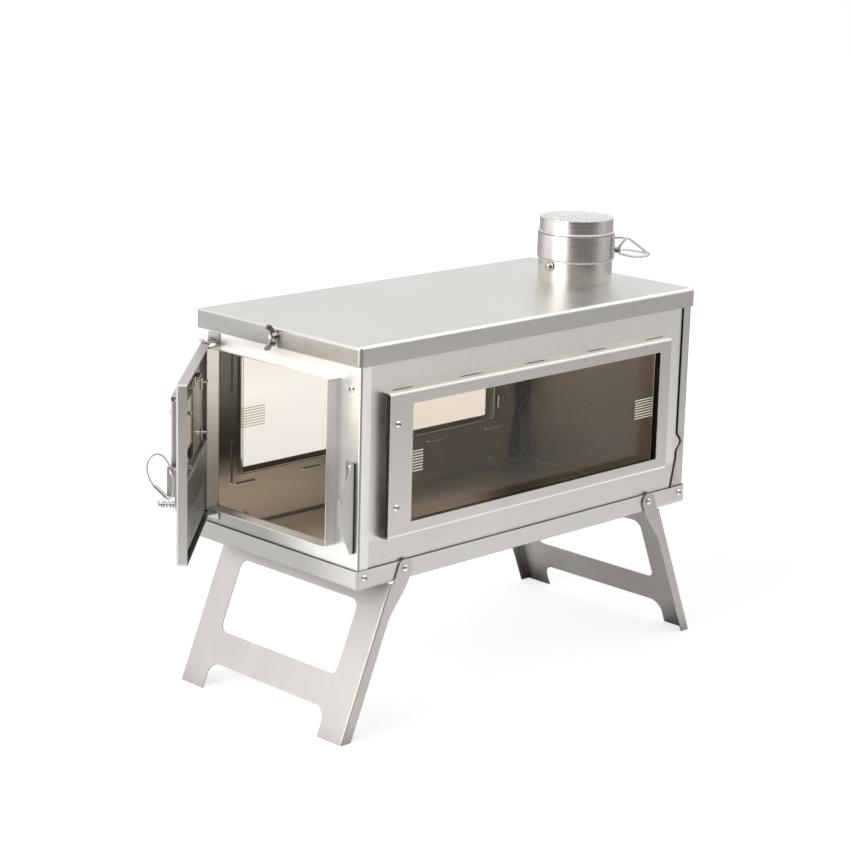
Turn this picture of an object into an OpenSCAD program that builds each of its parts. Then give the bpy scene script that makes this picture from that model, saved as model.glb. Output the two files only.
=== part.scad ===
// Folding-leg tent wood stove of thin sheet metal, with glass side windows, a hinged glass door
// on a sprung latch, a lift-off lid and a flue spigot with a damper and a spark arrestor.
// Frame: origin at the centre of the base pan's underside, +Z up, -Y the door end. Millimetres.

/* [Body] */
// Outer width of the lid and the base pan
body_w = 208; // [190:1:240]
// Outer length of the lid and the base pan
body_l = 424; // [400:1:480]
// Height from the pan's underside to the lid's top
body_h = 205.5; // [195:0.5:230]
// Thickness of the body sheet
sheet_t = 0.8; // [0.6:0.1:1.2]
// Depth of the lid's and the pan's skirts
tray_h = 17; // [14:0.5:22]
// Outer radius of the bends round the lid and the pan
bend_r = 3; // [2:0.5:5]
// Distance of the wall panels inside the lid's outline
panel_inset = 2; // [2:0.1:4]

/* [Side windows] */
// Length of the window opening in the frame
window_l = 316; // [260:1:320]
// Height of the window opening in the frame
window_h = 101; // [80:1:105]
// Height of the window's middle above the pan's underside
window_z = 102.5; // [98:0.5:106]
// How far a window frame stands out from the wall
frame_proud = 9; // [6:0.5:12]
// Width of the frame round its opening, above and below
frame_rim = 11.5; // [10:0.5:13]
// Thickness of the glass
glass_t = 4; // [3:0.5:5]

/* [Door] */
// Half width of the fire opening
throat_half = 76; // [70:0.5:77]
// Bottom of the fire opening
throat_bottom = 34.5; // [33:0.5:40]
// Distance of the fire opening below the lid's skirt
throat_drop = 12; // [12:0.5:18.5]
// How far the fire opening's rim stands out
rim_proud = 12.5; // [11:0.5:13]
// Depth of the door's folded edges
door_depth = 9; // [8:0.5:9]
// Angle at which the door stands open
door_open = 46; // [0:1:120]
// Height of the latch pivot
latch_z = 79; // [70:0.5:82]
// Length of the latch lever past its pivot
lever_reach = 31; // [29:0.5:33]

/* [Legs] */
// Distance of a leg's pivot from the end of the stove
leg_inset = 54.5; // [42:0.5:54.5]
// Height of the leg pivots above the pan's underside
leg_pivot_z = 10; // [9:0.5:11]
// Clearance from the floor to the pan's underside
leg_drop = 130.5; // [100:0.5:130.5]
// Angle of the legs from upright
leg_splay = 22.5; // [18:0.5:24]
// Thickness of the leg sheet
leg_t = 1; // [0.8:0.1:1.5]

/* [Flue] */
// Distance of the flue's axis from the rear end of the stove
flue_inset = 52; // [47:1:72]
// Outer radius of the collar that takes the flue pipe
collar_r = 34.75; // [30:0.25:40]
// Height of the collar above the lid
collar_h = 20.5; // [18:0.5:30]
// Height of the damper section
damper_h = 23; // [21:0.5:34]
// Height of the spark cap above the damper section
cap_h = 14.5; // [12:0.5:20]

/* [Fasteners] */
// Radius of the small screws
screw_r = 1.5; // [1.25:0.05:1.75]
// Radius of their button heads
head_r = 3.3; // [2.8:0.1:3.6]
// Radius of the lid's studs
stud_r = 1.95; // [1.9:0.05:2]

/* [Hidden] */

$fn = 48;
seat_gap = 0.3;             // gap between pieces of different bodies that rest on each other
fit_gap = 0.05;             // radial clearance of a pin or screw in its hole
steel = [0.80, 0.79, 0.77];
bright = [0.88, 0.88, 0.88];
smoke = [0.42, 0.36, 0.28, 0.5];

// Walls
wall_x = body_w / 2 - panel_inset;
wall_y = body_l / 2 - panel_inset;
floor_z = bend_r;           // the walls stand clear of the pan's bent edges
lid_under = body_h - sheet_t;
wall_top = lid_under - 1 - seat_gap;
return_l = 12;              // length of the front panel's returns along the sides
lug_z = 60;                 // height of the lug on each side panel's rear edge
seam_y = wall_y - 14.2;     // where a side panel ends before the back panel's return
seam_gap = 3.4;
seam_in = 5.5;              // depth of the flanges turned inwards along the seam
seam_foot = lug_z + 10;
tab_w = 17;                 // width of a side panel's screw flange behind the front panel
front_in = -wall_y + sheet_t;

// Side windows
frame_front = -(window_l / 2 + 26);
frame_rear = window_l / 2 + 16;
frame_top = window_z + window_h / 2 + frame_rim;
frame_bottom = window_z - window_h / 2 - frame_rim;
tab_pitch = (window_l + 4) / 4;
tab_first = frame_front + 22;
tab_l = 22;
end_tab_l = 38;
glass_x = wall_x - sheet_t;
window_screw_y = frame_front + 9;
window_screw_dz = 35.5;
glass_front = window_screw_y + 5;
glass_rear = frame_rear - sheet_t - 1.6;
glass_margin = 9;           // how far the glass reaches above and below the opening

// Door, drawn closed and turned about its hinge
throat_top = body_h - tray_h - throat_drop;
rim_y = -wall_y - rim_proud;
door_in = rim_y - seat_gap;
door_out = door_in - sheet_t;
door_free = throat_half + sheet_t + 2.6;
hinge_x = -(throat_half + 6);
hinge_y = door_out + 6;
door_hinge_side = hinge_x - 3.5;
door_bottom = throat_bottom - 5.5;
door_top = throat_top + 3;
pin_r = 1.5;
bracket_t = 1.2;
door_window = [88, 56];
door_window_z = 128.5;
door_frame_proud = 6.5;
door_frame_half = 64;
door_frame_rim = 10;
door_screw_x = 57;
door_screw_dz = 22.3;
door_glass_half = door_screw_x - 5;
door_glass_lap = 3;
liner_half = 68.5;
liner_bottom = throat_bottom + 3;
liner_top = door_window_z - door_window.y / 2 - door_glass_lap - 0.5;
liner_d = 7;
vent_n = 9;
vent_pitch = 10;
vent_w = 4;
vent_h = 26;
vent_z = 62;
shutter_t = 0.8;
rail_d = 2.2;

// Latch
latch_x = 72;
lever_w = 9;
lever_t = 1.2;
lever_in = door_out - seat_gap;
lever_out = lever_in - lever_t;
lever_flange = 8.4;         // how far the lever's grip stands out from the door
spring_r = 3.2;
spring_wire = 0.45;
spring_l = 12;
spring_turns = 5;
lever_hole_h = 26.2;
lever_hole_o = 5;
catch_x = wall_x - 4.4;
catch_in = max(throat_half + sheet_t + 1, catch_x - 10.4);
catch_screw_x = (catch_in + catch_x - 1.2) / 2;
catch_top = latch_z + 29.5;
catch_bottom = latch_z - 47.5;
slot_in = -(door_out + wall_y) - 0.1;

// Legs, in their own frame: u runs down the leg, n out from the stove
leg_x = body_w / 2 + 0.4 + leg_t;
leg_pivot_y = body_l / 2 - leg_inset;
plate_n = leg_pivot_z + 0.4;
plate_top = 16;
leg_end = (leg_drop + leg_pivot_z + (plate_n + leg_t) * sin(leg_splay)) / cos(leg_splay) + 3;
cut_half = 75.5;
lobe_r = 8.3;
strip_n = 0.9;

// Flue
flue_t = sheet_t;
flue_y = body_l / 2 - flue_inset;
collar_top = body_h + collar_h + 4.5;
band_bottom = body_h + collar_h + 0.2;
band_in = collar_r + 0.45;
band_top = band_bottom + damper_h - 0.2;
cap_top = band_top + cap_h;
cap_r = collar_r - 0.25;
shaft_z = body_h + collar_h + 6.7;
shaft_r = 1.5;
disc_r = collar_r - flue_t - 1.45;
disc_half = min(26, cap_top - shaft_z - 2.2);
disc_t = 0.8;

// Lid fastening
stud_z = body_h - 8;

// ---------- shapes ----------
module round_rect(w, h, r) {
    square([w - 2 * r, h], center = true);
    square([w, h - 2 * r], center = true);
    for (x = [-1, 1], y = [-1, 1]) translate([x * (w / 2 - r), y * (h / 2 - r)]) circle(r);
}

// Outline standing on the X axis, with its two top corners round
module top_round(w, h, r) {
    translate([-w / 2, 0]) square([w, h - r]);
    translate([-w / 2 + r, 0]) square([w - 2 * r, h]);
    for (s = [-1, 1]) translate([s * (w / 2 - r), h - r]) circle(r);
}

// Block on z = 0 with round upright corners and a round edge at its top
module soft_block(w, l, h, r) {
    intersection() {
        linear_extrude(h) round_rect(w, l, r + 0.5);
        translate([0, l / 2, 0]) rotate([90, 0, 0]) linear_extrude(l) top_round(w, h, r);
        translate([-w / 2, 0, 0]) rotate([90, 0, 90]) linear_extrude(w) top_round(l, h, r);
    }
}

// Folded tray, open at z = 0, with its face at z = h
module tray(w, l, h, t, r) {
    difference() {
        soft_block(w, l, h, r);
        translate([0, 0, -1]) soft_block(w - 2 * t, l - 2 * t, h - t + 1, r - t);
    }
}

// Round bar along +Z from the origin, used for shanks and holes
module bar(r, l) cylinder(r = r, h = l);

// Point an upright shape along +X, -X, +Y or -Y
module face_x() rotate([0, 90, 0]) children();
module face_nx() rotate([0, -90, 0]) children();
module face_y() rotate([-90, 0, 0]) children();
module face_ny() rotate([90, 0, 0]) children();

// Button-head screw: the head sits on z = 0 and the shank reaches down by l, with its nut at grip
module screw(l, grip, r = screw_r, hr = head_r) {
    difference() {
        intersection() {
            cylinder(r = hr, h = 0.62 * hr);
            translate([0, 0, -hr * 0.52]) sphere(r = hr * 1.16);
        }
        translate([0, 0, 0.3 * hr]) cylinder(r = 0.42 * hr, h = hr, $fn = 6);
    }
    translate([0, 0, -l]) cylinder(r = r, h = l + 0.2);
    translate([0, 0, -grip - 1.6 * r]) cylinder(r = 2 * r, h = 1.6 * r, $fn = 6);
}

// Tube swept along a list of points; closed joins its two ends
function unit(v) = v / norm(v);
function side_of(d) = unit(abs(d.z) < 0.9 ? cross(d, [0, 0, 1]) : cross(d, [0, 1, 0]));
function along(p, i, closed) =
    let (n = len(p), a = closed ? p[(i + n - 1) % n] : p[max(i - 1, 0)],
        b = closed ? p[(i + 1) % n] : p[min(i + 1, n - 1)]) unit(b - a);
// Carries the first ring's side along the route, so that the tube doesn't twist
function sides(p, closed, i = 0, s = undef, out = []) = i == len(p) ? out :
    let (d = along(p, i, closed), v = is_undef(s) ? side_of(d) : unit(s - (s * d) * d))
    sides(p, closed, i + 1, v, concat(out, [v]));

module sweep(p, r, n = 8, closed = false) {
    m = len(p);
    side = sides(p, closed);
    pts = [for (i = [0:m - 1], k = [0:n - 1]) let (d = along(p, i, closed), v = cross(d, side[i]))
        p[i] + r * (cos(360 * k / n) * side[i] + sin(360 * k / n) * v)];
    walls = [for (i = [0:m - (closed ? 1 : 2)], k = [0:n - 1])
        let (a = i * n, b = (i + 1) % m * n, q = (k + 1) % n) [a + k, b + k, b + q, a + q]];
    ends = closed ? [] : [[for (k = [0:n - 1]) k], [for (k = [n - 1:-1:0]) (m - 1) * n + k]];
    polyhedron(pts, concat(walls, ends));
}

// ---------- body ----------
module mirrored_x() for (s = [0, 1]) mirror([s, 0, 0]) children();

// Holes through the walls, shared by the sheets and by what goes through them
pan_screw_y = wall_y - 7;
pan_screw_z = 10.5;
panel_screws = [[wall_x - 10, throat_top - 7], [wall_x - 10, throat_bottom + 5]];
catch_screws = [[catch_screw_x, catch_top - 5], [catch_screw_x, catch_bottom + 38.5]];

module side_hole(y, z, r) translate([0, y, z]) face_x() bar(r, body_w);
module front_hole(x, z, r) translate([x, 0, z]) face_ny() bar(r, body_l);

module pan_holes() for (s = [-1, 1]) {
    side_hole(s * pan_screw_y, pan_screw_z, screw_r + fit_gap);
    side_hole(s * leg_pivot_y, leg_pivot_z, screw_r + fit_gap);
}

module base_pan() color(steel) difference() {
    translate([0, 0, tray_h]) mirror([0, 0, 1]) tray(body_w, body_l, tray_h, sheet_t, bend_r);
    mirrored_x() pan_holes();
}

module panel_holes() for (s = [-1, 1], q = panel_screws) front_hole(s * q.x, q.y, screw_r + fit_gap);

module front_panel() color(steel) difference() {
    w = wall_x + sheet_t;
    opening = [2 * throat_half, throat_top - throat_bottom];
    mid_z = (throat_top + throat_bottom) / 2;
    union() {
        translate([0, 0, floor_z]) linear_extrude(wall_top - floor_z) intersection() {
            difference() {
                translate([0, -wall_y + 40]) round_rect(2 * w, 80, 1.6);
                translate([-wall_x, -wall_y + sheet_t]) square([2 * wall_x, 80]);
            }
            translate([-w, -wall_y]) square([2 * w, return_l]);
        }
        translate([0, rim_y, mid_z]) face_y() linear_extrude(rim_proud + 0.4) difference() {
            round_rect(opening.x + 2 * sheet_t, opening.y + 2 * sheet_t, 3);
            round_rect(opening.x, opening.y, 2.2);
        }
    }
    translate([0, -wall_y - 1, mid_z]) face_y() linear_extrude(4) round_rect(opening.x, opening.y, 2.2);
    panel_holes();
    for (q = catch_screws) front_hole(q.x, q.y, screw_r + fit_gap);
    front_hole(0, stud_z, stud_r + fit_gap);
    mirrored_x() side_hole(-pan_screw_y, pan_screw_z, screw_r + fit_gap);
}

// Outline of a side panel's rear edge, with the thumb-shaped lug low down
module rear_edge(shift) polygon(concat([[-wall_y, body_h], [-wall_y, 0], [seam_y + shift, 0]],
    [for (k = [-6:6]) [seam_y + shift + 6 * pow(cos(15 * k), 2), lug_z + 1.6 * k]],
    [[seam_y + shift, body_h]]));

module seam_cut(shift) polygon([[seam_y + shift, 45], [seam_y + shift + 40, 45],
    [seam_y + shift + 40, -1], [seam_y + shift - 6, -1], [seam_y + shift - 6, tray_h]]);

module side_outline(shift) difference() {
    rear_edge(shift);
    seam_cut(shift);
}

module seam_flange(y) translate([glass_x - seam_in, y, seam_foot])
    cube([seam_in + 0.1, sheet_t, wall_top - seam_foot]);

module back_sheet() translate([0, 0, floor_z]) linear_extrude(wall_top - floor_z) intersection() {
    difference() {
        translate([0, wall_y - 40]) round_rect(2 * wall_x, 80, 1.6);
        translate([-glass_x, wall_y - sheet_t - 80]) square([2 * glass_x, 80]);
    }
    translate([-wall_x, seam_y - 12]) square([2 * wall_x, 40]);
}

module back_panel() color(steel) difference() {
    union() {
        mirrored_x() seam_flange(seam_y + seam_gap);
        back_sheet();
    }
    translate([-wall_x - 1, 0, 0]) rotate([90, 0, 90]) linear_extrude(2 * wall_x + 2)
        side_outline(seam_gap);
    mirrored_x() side_hole(pan_screw_y, pan_screw_z, screw_r + fit_gap);
    rotate([0, 0, 180]) front_hole(0, stud_z, stud_r + fit_gap);
}

module tab_row(l, clear) for (k = [0:4], z = [frame_bottom + sheet_t / 2, frame_top - sheet_t / 2])
    translate([tab_first + k * tab_pitch, z]) square([l, sheet_t + 2 * clear], center = true);

module end_tabs(l, clear) for (s = [-1, 1])
    translate([frame_rear - sheet_t / 2, window_z + s * (window_h / 2 - 9)])
        square([sheet_t + 2 * clear, l], center = true);

module window_screw_holes(r) for (s = [-1, 1]) side_hole(window_screw_y, window_z + s * window_screw_dz, r);

// Everything a window needs in its wall: the opening, the tab slots and the screw holes
module window_cuts() {
    rotate([90, 0, 90]) linear_extrude(body_w) {
        translate([0, window_z]) round_rect(window_l + 6, window_h + 5, 1);
        tab_row(tab_l + 2, 0.6);
        end_tabs(end_tab_l + 2, 0.5);
    }
    window_screw_holes(screw_r + fit_gap);
}

module side_wall(turned) difference() {
    union() {
        translate([glass_x, 0, 0]) rotate([90, 0, 90]) linear_extrude(sheet_t) intersection() {
            side_outline(0);
            translate([front_in, floor_z]) square([body_l, wall_top - floor_z]);
        }
        translate([wall_x - tab_w, front_in, floor_z]) cube([tab_w, sheet_t, wall_top - floor_z]);
        seam_flange(seam_y - sheet_t);
    }
    mirror([0, turned, 0]) window_cuts();
    side_hole(-pan_screw_y, pan_screw_z, screw_r + fit_gap);
    for (s = [-1, 1]) side_hole(s * leg_pivot_y, leg_pivot_z, screw_r + fit_gap);
    panel_holes();
}

module right_side_panel() color(steel) difference() {
    side_wall(0);
    for (q = catch_screws) front_hole(q.x, q.y, screw_r + fit_gap);
}
module left_side_panel() color(steel) mirror([1, 0, 0]) side_wall(1);

// Raised cover round a window: folded on three sides, its front end open, with tabs into the wall
module window_frame() color(steel) {
    h = frame_top - frame_bottom;
    l = frame_rear - frame_front;
    difference() {
        translate([wall_x, frame_rear - l / 2 - 10, window_z]) face_x()
            tray(h, l + 20, frame_proud, sheet_t, 3);
        translate([0, frame_front - 30, 0]) cube([body_w, 30, body_h]);
        translate([0, 0, window_z]) rotate([90, 0, 90]) linear_extrude(body_w)
            round_rect(window_l, window_h, 1);
        window_screw_holes(screw_r + fit_gap);
    }
    translate([wall_x - sheet_t - 1, 0, 0]) rotate([90, 0, 90]) linear_extrude(sheet_t + 1.2) {
        tab_row(tab_l, 0);
        end_tabs(end_tab_l, 0);
    }
}

module right_window_frame() window_frame();
module left_window_frame() rotate([0, 0, 180]) window_frame();

module window_glass() color(smoke)
    translate([glass_x - glass_t, glass_front, window_z - window_h / 2 - glass_margin])
        cube([glass_t, glass_rear - glass_front, window_h + 2 * glass_margin]);
module right_window_glass() window_glass();
module left_window_glass() rotate([0, 0, 180]) window_glass();

module both_sides() for (a = [0, 180]) rotate([0, 0, a]) children();

module window_screws() color(bright) both_sides() for (s = [-1, 1])
    translate([wall_x + frame_proud, window_screw_y, window_z + s * window_screw_dz]) face_x()
        screw(frame_proud + 2 * sheet_t + 4.4, frame_proud + 2 * sheet_t);

// Bent clip, seen from above: its foot lies on the wall, its tongue over the edge of the glass
clip_foot = 9;
clip_tongue = 7;
module clip(w) translate([0, 0, -w / 2]) linear_extrude(w) {
    square([clip_foot, sheet_t]);
    translate([clip_foot - sheet_t, 0]) square([sheet_t, glass_t + sheet_t]);
    translate([clip_foot - sheet_t, glass_t]) square([clip_tongue + sheet_t, sheet_t]);
}

module window_glass_clips() color(bright) both_sides() for (s = [-1, 1]) difference() {
    translate([glass_x, glass_front - clip_foot, window_z + s * window_screw_dz])
        rotate([0, 0, 90]) clip(12);
    window_screw_holes(screw_r + fit_gap);
}

// Plate with the slot that the latch lever drops into
module latch_catch() color(steel) difference() {
    finger = slot_in + lever_t + 1.1;
    union() {
        translate([catch_x, -wall_y, 0]) rotate([90, 0, 90]) linear_extrude(sheet_t)
            mirror([1, 0]) polygon([[0, catch_top], [4, catch_top], [slot_in - 5, latch_z + 18],
                [slot_in, latch_z + 8],
                [slot_in, latch_z - lever_w / 2 - 0.4], [finger, latch_z - lever_w / 2 - 0.4],
                [finger, latch_z + 2], [finger + 3, latch_z + 2], [finger + 3, latch_z - 17.5],
                [5, catch_bottom], [0, catch_bottom]]);
        translate([catch_in, -wall_y - sheet_t, latch_z - 17])
            cube([catch_x + 0.1 - catch_in, sheet_t, catch_top - latch_z + 17]);
    }
    for (q = catch_screws) front_hole(q.x, q.y, screw_r + fit_gap);
}

module front_panel_screws() color(bright) {
    for (s = [-1, 1], q = panel_screws) translate([s * q.x, -wall_y, q.y]) face_ny()
        screw(2 * sheet_t + 3.4, 2 * sheet_t);
    for (q = catch_screws) translate([q.x, -wall_y - sheet_t, q.y]) face_ny()
        screw(3 * sheet_t + 3.4, 3 * sheet_t, hr = head_r - 0.7);
}

module pan_screws() color(bright) mirrored_x() for (s = [-1, 1])
    translate([body_w / 2, s * pan_screw_y, pan_screw_z]) face_x()
        screw(panel_inset + sheet_t + 3.2, panel_inset + sheet_t);

// Domed rivet: head on z = 0, shank down through grip, its tail set over below
module rivet(grip) {
    intersection() {
        cylinder(r = head_r, h = 2);
        translate([0, 0, -head_r * 0.8]) sphere(r = head_r * 1.35);
    }
    translate([0, 0, -grip - 1.5]) bar(screw_r, grip + 1.7);
    translate([0, 0, -grip - 2]) cylinder(r1 = 2, r2 = 2.7, h = 1.2);
    translate([0, 0, -grip - 0.9]) cylinder(r = 4.6, h = 0.9);
}

module leg_pivot_rivets() color(bright) mirrored_x() for (s = [-1, 1])
    translate([leg_x + fit_gap, s * leg_pivot_y, leg_pivot_z]) face_x()
        rivet(leg_x + fit_gap - glass_x);

module at_hinge() translate([hinge_x, hinge_y, 0]) children();

// One hinge bracket, drawn at its tab's underside
module bracket() {
    back = -wall_y - hinge_y;
    difference() {
        translate([-7, -4.5, 0]) cube([15, back + 4.5, bracket_t]);
        translate([0, 0, -1]) bar(pin_r + fit_gap, 4);
    }
    translate([-7, back - bracket_t, 0]) cube([15, bracket_t, 7]);
    translate([8 - sheet_t, back - bracket_t - 3, -2]) cube([sheet_t, 3 + bracket_t, 2.1]);
}

module hinge_brackets() color(steel) at_hinge() {
    translate([0, 0, door_top + seat_gap]) bracket();
    translate([0, 0, door_bottom - seat_gap]) mirror([0, 0, 1]) bracket();
}

module hinge_pin() {
    translate([0, 0, -4]) bar(pin_r, 4 + bracket_t + 0.1);
    translate([0, 0, bracket_t]) cylinder(r1 = 2.6, r2 = 2, h = 1.6);
}

module hinge_pins() color(bright) at_hinge() {
    translate([0, 0, door_top + seat_gap]) hinge_pin();
    translate([0, 0, door_bottom - seat_gap]) mirror([0, 0, 1]) hinge_pin();
}

// ---------- lid and its fastening ----------
module both_ends() for (a = [0, 180]) rotate([0, 0, a]) children();

module lid_studs() color(bright) both_ends() translate([0, front_in, stud_z]) face_ny() {
    bar(stud_r, panel_inset + 7);
    translate([0, 0, -2]) cylinder(r = 4, h = 2, $fn = 6);
}

// Nut with two wings that flare away from the lid
module wing_nut(turn) color(bright) translate([0, -body_l / 2 - seat_gap, stud_z]) face_ny()
    rotate([0, 0, turn]) difference() {
    union() {
        cylinder(r1 = 4.6, r2 = 3.8, h = 4.5);
        rotate([90, 0, 0]) translate([0, 0, -0.9]) linear_extrude(1.8) for (s = [-1, 1]) scale([s, 1])
            { polygon([[2.5, 0.6], [4.4, 0.6], [10.6, 5.5], [10.6, 9], [7.6, 9], [2.5, 4.4]]);
              translate([9.1, 8.4]) circle(2.1); }
    }
    translate([0, 0, -1]) bar(stud_r + fit_gap, 12);
}
module front_wing_nut() wing_nut(86);
module rear_wing_nut() rotate([0, 0, 180]) wing_nut(20);

module lid() color(steel) difference() {
    translate([0, 0, body_h - tray_h]) tray(body_w, body_l, tray_h, sheet_t, bend_r);
    translate([0, flue_y, body_h - 4]) bar(collar_r + fit_gap, 8);
    slot_w = 2 * (stud_r + 0.35);
    translate([-slot_w / 2, -body_l, 0]) cube([slot_w, 2 * body_l, stud_z]);
    for (a = [0, 180]) rotate([0, 0, a]) front_hole(0, stud_z, slot_w / 2);
}

// ---------- flue ----------
module at_flue(z) translate([0, flue_y, z]) children();
module tube(r_out, r_in, h) difference() {
    cylinder(r = r_out, h = h);
    translate([0, 0, -1]) cylinder(r = r_in, h = h + 2);
}
collar_screw_z = body_h + collar_h - 6.1;
module along_shaft() rotate([0, 0, 45]) children();

module flue_collar() color(steel) at_flue(0) difference() {
    union() {
        translate([0, 0, lid_under - flue_t])
            tube(collar_r, collar_r - flue_t, collar_top - lid_under + flue_t);
        translate([0, 0, lid_under - flue_t]) tube(collar_r + 6, collar_r - 0.1, flue_t);
        translate([0, 0, band_bottom - seat_gap - 0.9]) rotate_extrude() translate([collar_r, 0])
            intersection() { circle(0.9, $fn = 24); translate([-0.3, -1]) square(2); }
    }
    translate([0, 0, collar_screw_z]) face_ny() bar(screw_r + fit_gap, 60);
}

module collar_screw() color(bright) at_flue(collar_screw_z) translate([0, -collar_r, 0]) face_ny()
    screw(flue_t + 1, flue_t + 0.4, hr = 4);

module shaft_bore(r) translate([0, 0, shaft_z]) along_shaft() translate([-60, 0, 0]) face_x() bar(r, 120);

// Band round the collar, lapped over itself at its seam, with the damper's bearing holes
module damper_section() color(steel) at_flue(0) difference() {
    union() {
        translate([0, 0, band_bottom]) tube(band_in + flue_t, band_in, band_top - band_bottom);
        translate([0, 0, band_bottom]) rotate([0, 0, 18]) rotate_extrude(angle = 16)
            translate([band_in + flue_t - 0.05, 0]) square([flue_t, band_top - band_bottom]);
    }
    shaft_bore(shaft_r + fit_gap);
}

module damper_disc() color(steel) at_flue(shaft_z) along_shaft() difference() {
    translate([0, shaft_r + fit_gap, 0]) face_y() linear_extrude(disc_t) intersection() {
        circle(disc_r, $fn = 72);
        square([3 * disc_r, 2 * disc_half], center = true);
    }
    for (s = [-1, 1]) translate([s * 14, 0, 0]) face_y() bar(0.9, 10);
}

module damper_shaft() color(bright) at_flue(shaft_z) along_shaft() {
    out = band_in + flue_t;
    difference() {
        translate([-out, 0, 0]) face_x() bar(shaft_r, 2 * out + 6.6);
        translate([out + handle_eye, 0, -3]) bar(handle_r + 0.15, 6);
    }
    translate([out + flue_t + 0.3, 0, 0]) face_x() cylinder(r = 3, h = 2.2, $fn = 6);
    for (s = [-1, 1]) translate([s * 14, -shaft_r - 0.5, 0]) face_y() {
        bar(0.85, 2 * shaft_r + disc_t + 1.5);
        translate([0, 0, 2 * shaft_r + disc_t + 0.7]) cylinder(r = 1.7, h = 1);
    }
}

// Wire loop through the shaft's end; points are distance out from the band, and height
handle_r = 1;
handle_eye = 4.8;
handle_route = [[handle_eye, 2], [5.5, 4], [8, 7.4], [10.3, 10.4], [12.4, 11.5], [15, 10.4], [22, 5.2],
    [29, 0], [32.4, -2.4], [31.8, -4.4], [28.4, -5.2], [22.8, -6], [16, -5.4], [10, -4.2],
    [6.2, -3.4], [handle_eye, -1.9]];
module damper_handle() color(bright) at_flue(shaft_z) along_shaft() {
    sweep([for (q = handle_route) [q.x + band_in + flue_t, 0, q.y]], handle_r, 10, true);
}

module spark_cap_ring() color(steel) at_flue(0) {
    translate([0, 0, band_top - 10]) tube(cap_r, cap_r - flue_t, cap_top - band_top + 10);
    translate([0, 0, band_top + seat_gap + 0.9]) rotate_extrude() translate([cap_r, 0])
        intersection() { circle(1.1, $fn = 24); translate([-0.3, -0.9]) square([2, 2]); }
}

// Woven wire screen across the mouth of the cap
mesh_pitch = 6;
module spark_mesh() color(bright) at_flue(cap_top - 1.4) linear_extrude(0.8) {
    difference() { circle(cap_r - flue_t - fit_gap); circle(cap_r - flue_t - 1.6); }
    intersection() {
        circle(cap_r - flue_t - 1);
        for (a = [0, 90], k = [-5:5]) rotate(a) translate([k * mesh_pitch, 0])
            square([0.9, 80], center = true);
    }
}

// ---------- door, drawn closed ----------
module open_door() translate([hinge_x, hinge_y, 0]) rotate([0, 0, -door_open])
    translate([-hinge_x, -hinge_y, 0]) children();
door_w = door_free - door_hinge_side;
door_mid = (door_free + door_hinge_side) / 2;
door_h = door_top - door_bottom;
door_mid_z = (door_top + door_bottom) / 2;

module door_hole(x, z, r) translate([x, 0, z]) face_ny() bar(r, body_l);
module vents(h) for (k = [0:vent_n - 1]) translate([(k - (vent_n - 1) / 2) * vent_pitch, vent_z])
    { square([vent_w, h - vent_w], center = true);
      for (s = [-1, 1]) translate([0, s * (h - vent_w) / 2]) circle(vent_w / 2, $fn = 16); }

module door_window_cut() translate([0, 0, door_window_z]) face_ny() linear_extrude(body_l)
    round_rect(door_window.x, door_window.y, 3);

module door_panel() color(steel) open_door() difference() {
    translate([door_mid, door_out + door_depth, door_mid_z]) face_ny()
        tray(door_w, door_h, door_depth, sheet_t, 1.8);
    translate([door_hinge_side - 1, door_out + 6, door_bottom + sheet_t + 0.1])
        cube([2 + sheet_t, 10, door_h - 2 * sheet_t - 0.2]);
    door_window_cut();
    face_ny() linear_extrude(body_l) vents(vent_h);
    for (x = [-1, 1], z = [-1, 1])
        door_hole(x * door_screw_x, door_window_z + z * door_screw_dz, screw_r + fit_gap);
    door_hole(latch_x, latch_z, screw_r + fit_gap);
    at_hinge() bar(pin_r + fit_gap, body_h);
    translate([0, 0, vent_z + vent_h / 2 + 8]) face_ny() linear_extrude(body_l)
        square([14, 3.2], center = true);
}

module door_window_frame() color(steel) open_door() difference() {
    h = door_window.y + 2 * door_frame_rim;
    translate([0, door_out, door_window_z]) face_ny()
        tray(2 * door_frame_half, h, door_frame_proud, sheet_t, 1.8);
    door_window_cut();
    for (x = [-1, 1], z = [-1, 1])
        door_hole(x * door_screw_x, door_window_z + z * door_screw_dz, screw_r + fit_gap);
    translate([door_frame_half - 3, door_out - door_frame_proud + sheet_t, door_window_z + h / 2 - 4.5])
        cube([6, door_frame_proud, 3.5]);
}

module door_glass() color(smoke) open_door()
    translate([-door_glass_half, door_in, door_window_z - door_window.y / 2 - door_glass_lap])
        cube([2 * door_glass_half, glass_t, door_window.y + 2 * door_glass_lap]);

module door_glass_clips() color(bright) open_door() for (x = [0, 1], z = [-1, 1]) difference() {
    mirror([x, 0, 0]) translate([-door_glass_half - clip_foot, door_in, door_window_z + z * door_screw_dz])
        clip(10);
    door_hole((1 - 2 * x) * -door_screw_x, door_window_z + z * door_screw_dz, screw_r + fit_gap);
}

module door_frame_screws() color(bright) open_door() for (x = [-1, 1], z = [-1, 1])
    translate([x * door_screw_x, door_out - door_frame_proud, door_window_z + z * door_screw_dz]) face_ny()
        screw(door_frame_proud + 2 * sheet_t + 8, door_frame_proud + 2 * sheet_t, hr = 2.9);

// Inner liner that the draught rises behind, with louvre slots
module door_baffle() color(steel) open_door() difference() {
    h = liner_top - liner_bottom;
    mid = (liner_top + liner_bottom) / 2;
    translate([0, door_in, mid]) face_y() tray(2 * liner_half, h, liner_d, sheet_t, 1.8);
    face_ny() linear_extrude(body_l) translate([0, -8]) vents(vent_h);
    for (k = [-2:2]) translate([k * 24, door_in + liner_d / 2, liner_top - 2]) bar(1.5, 6);
}

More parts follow.
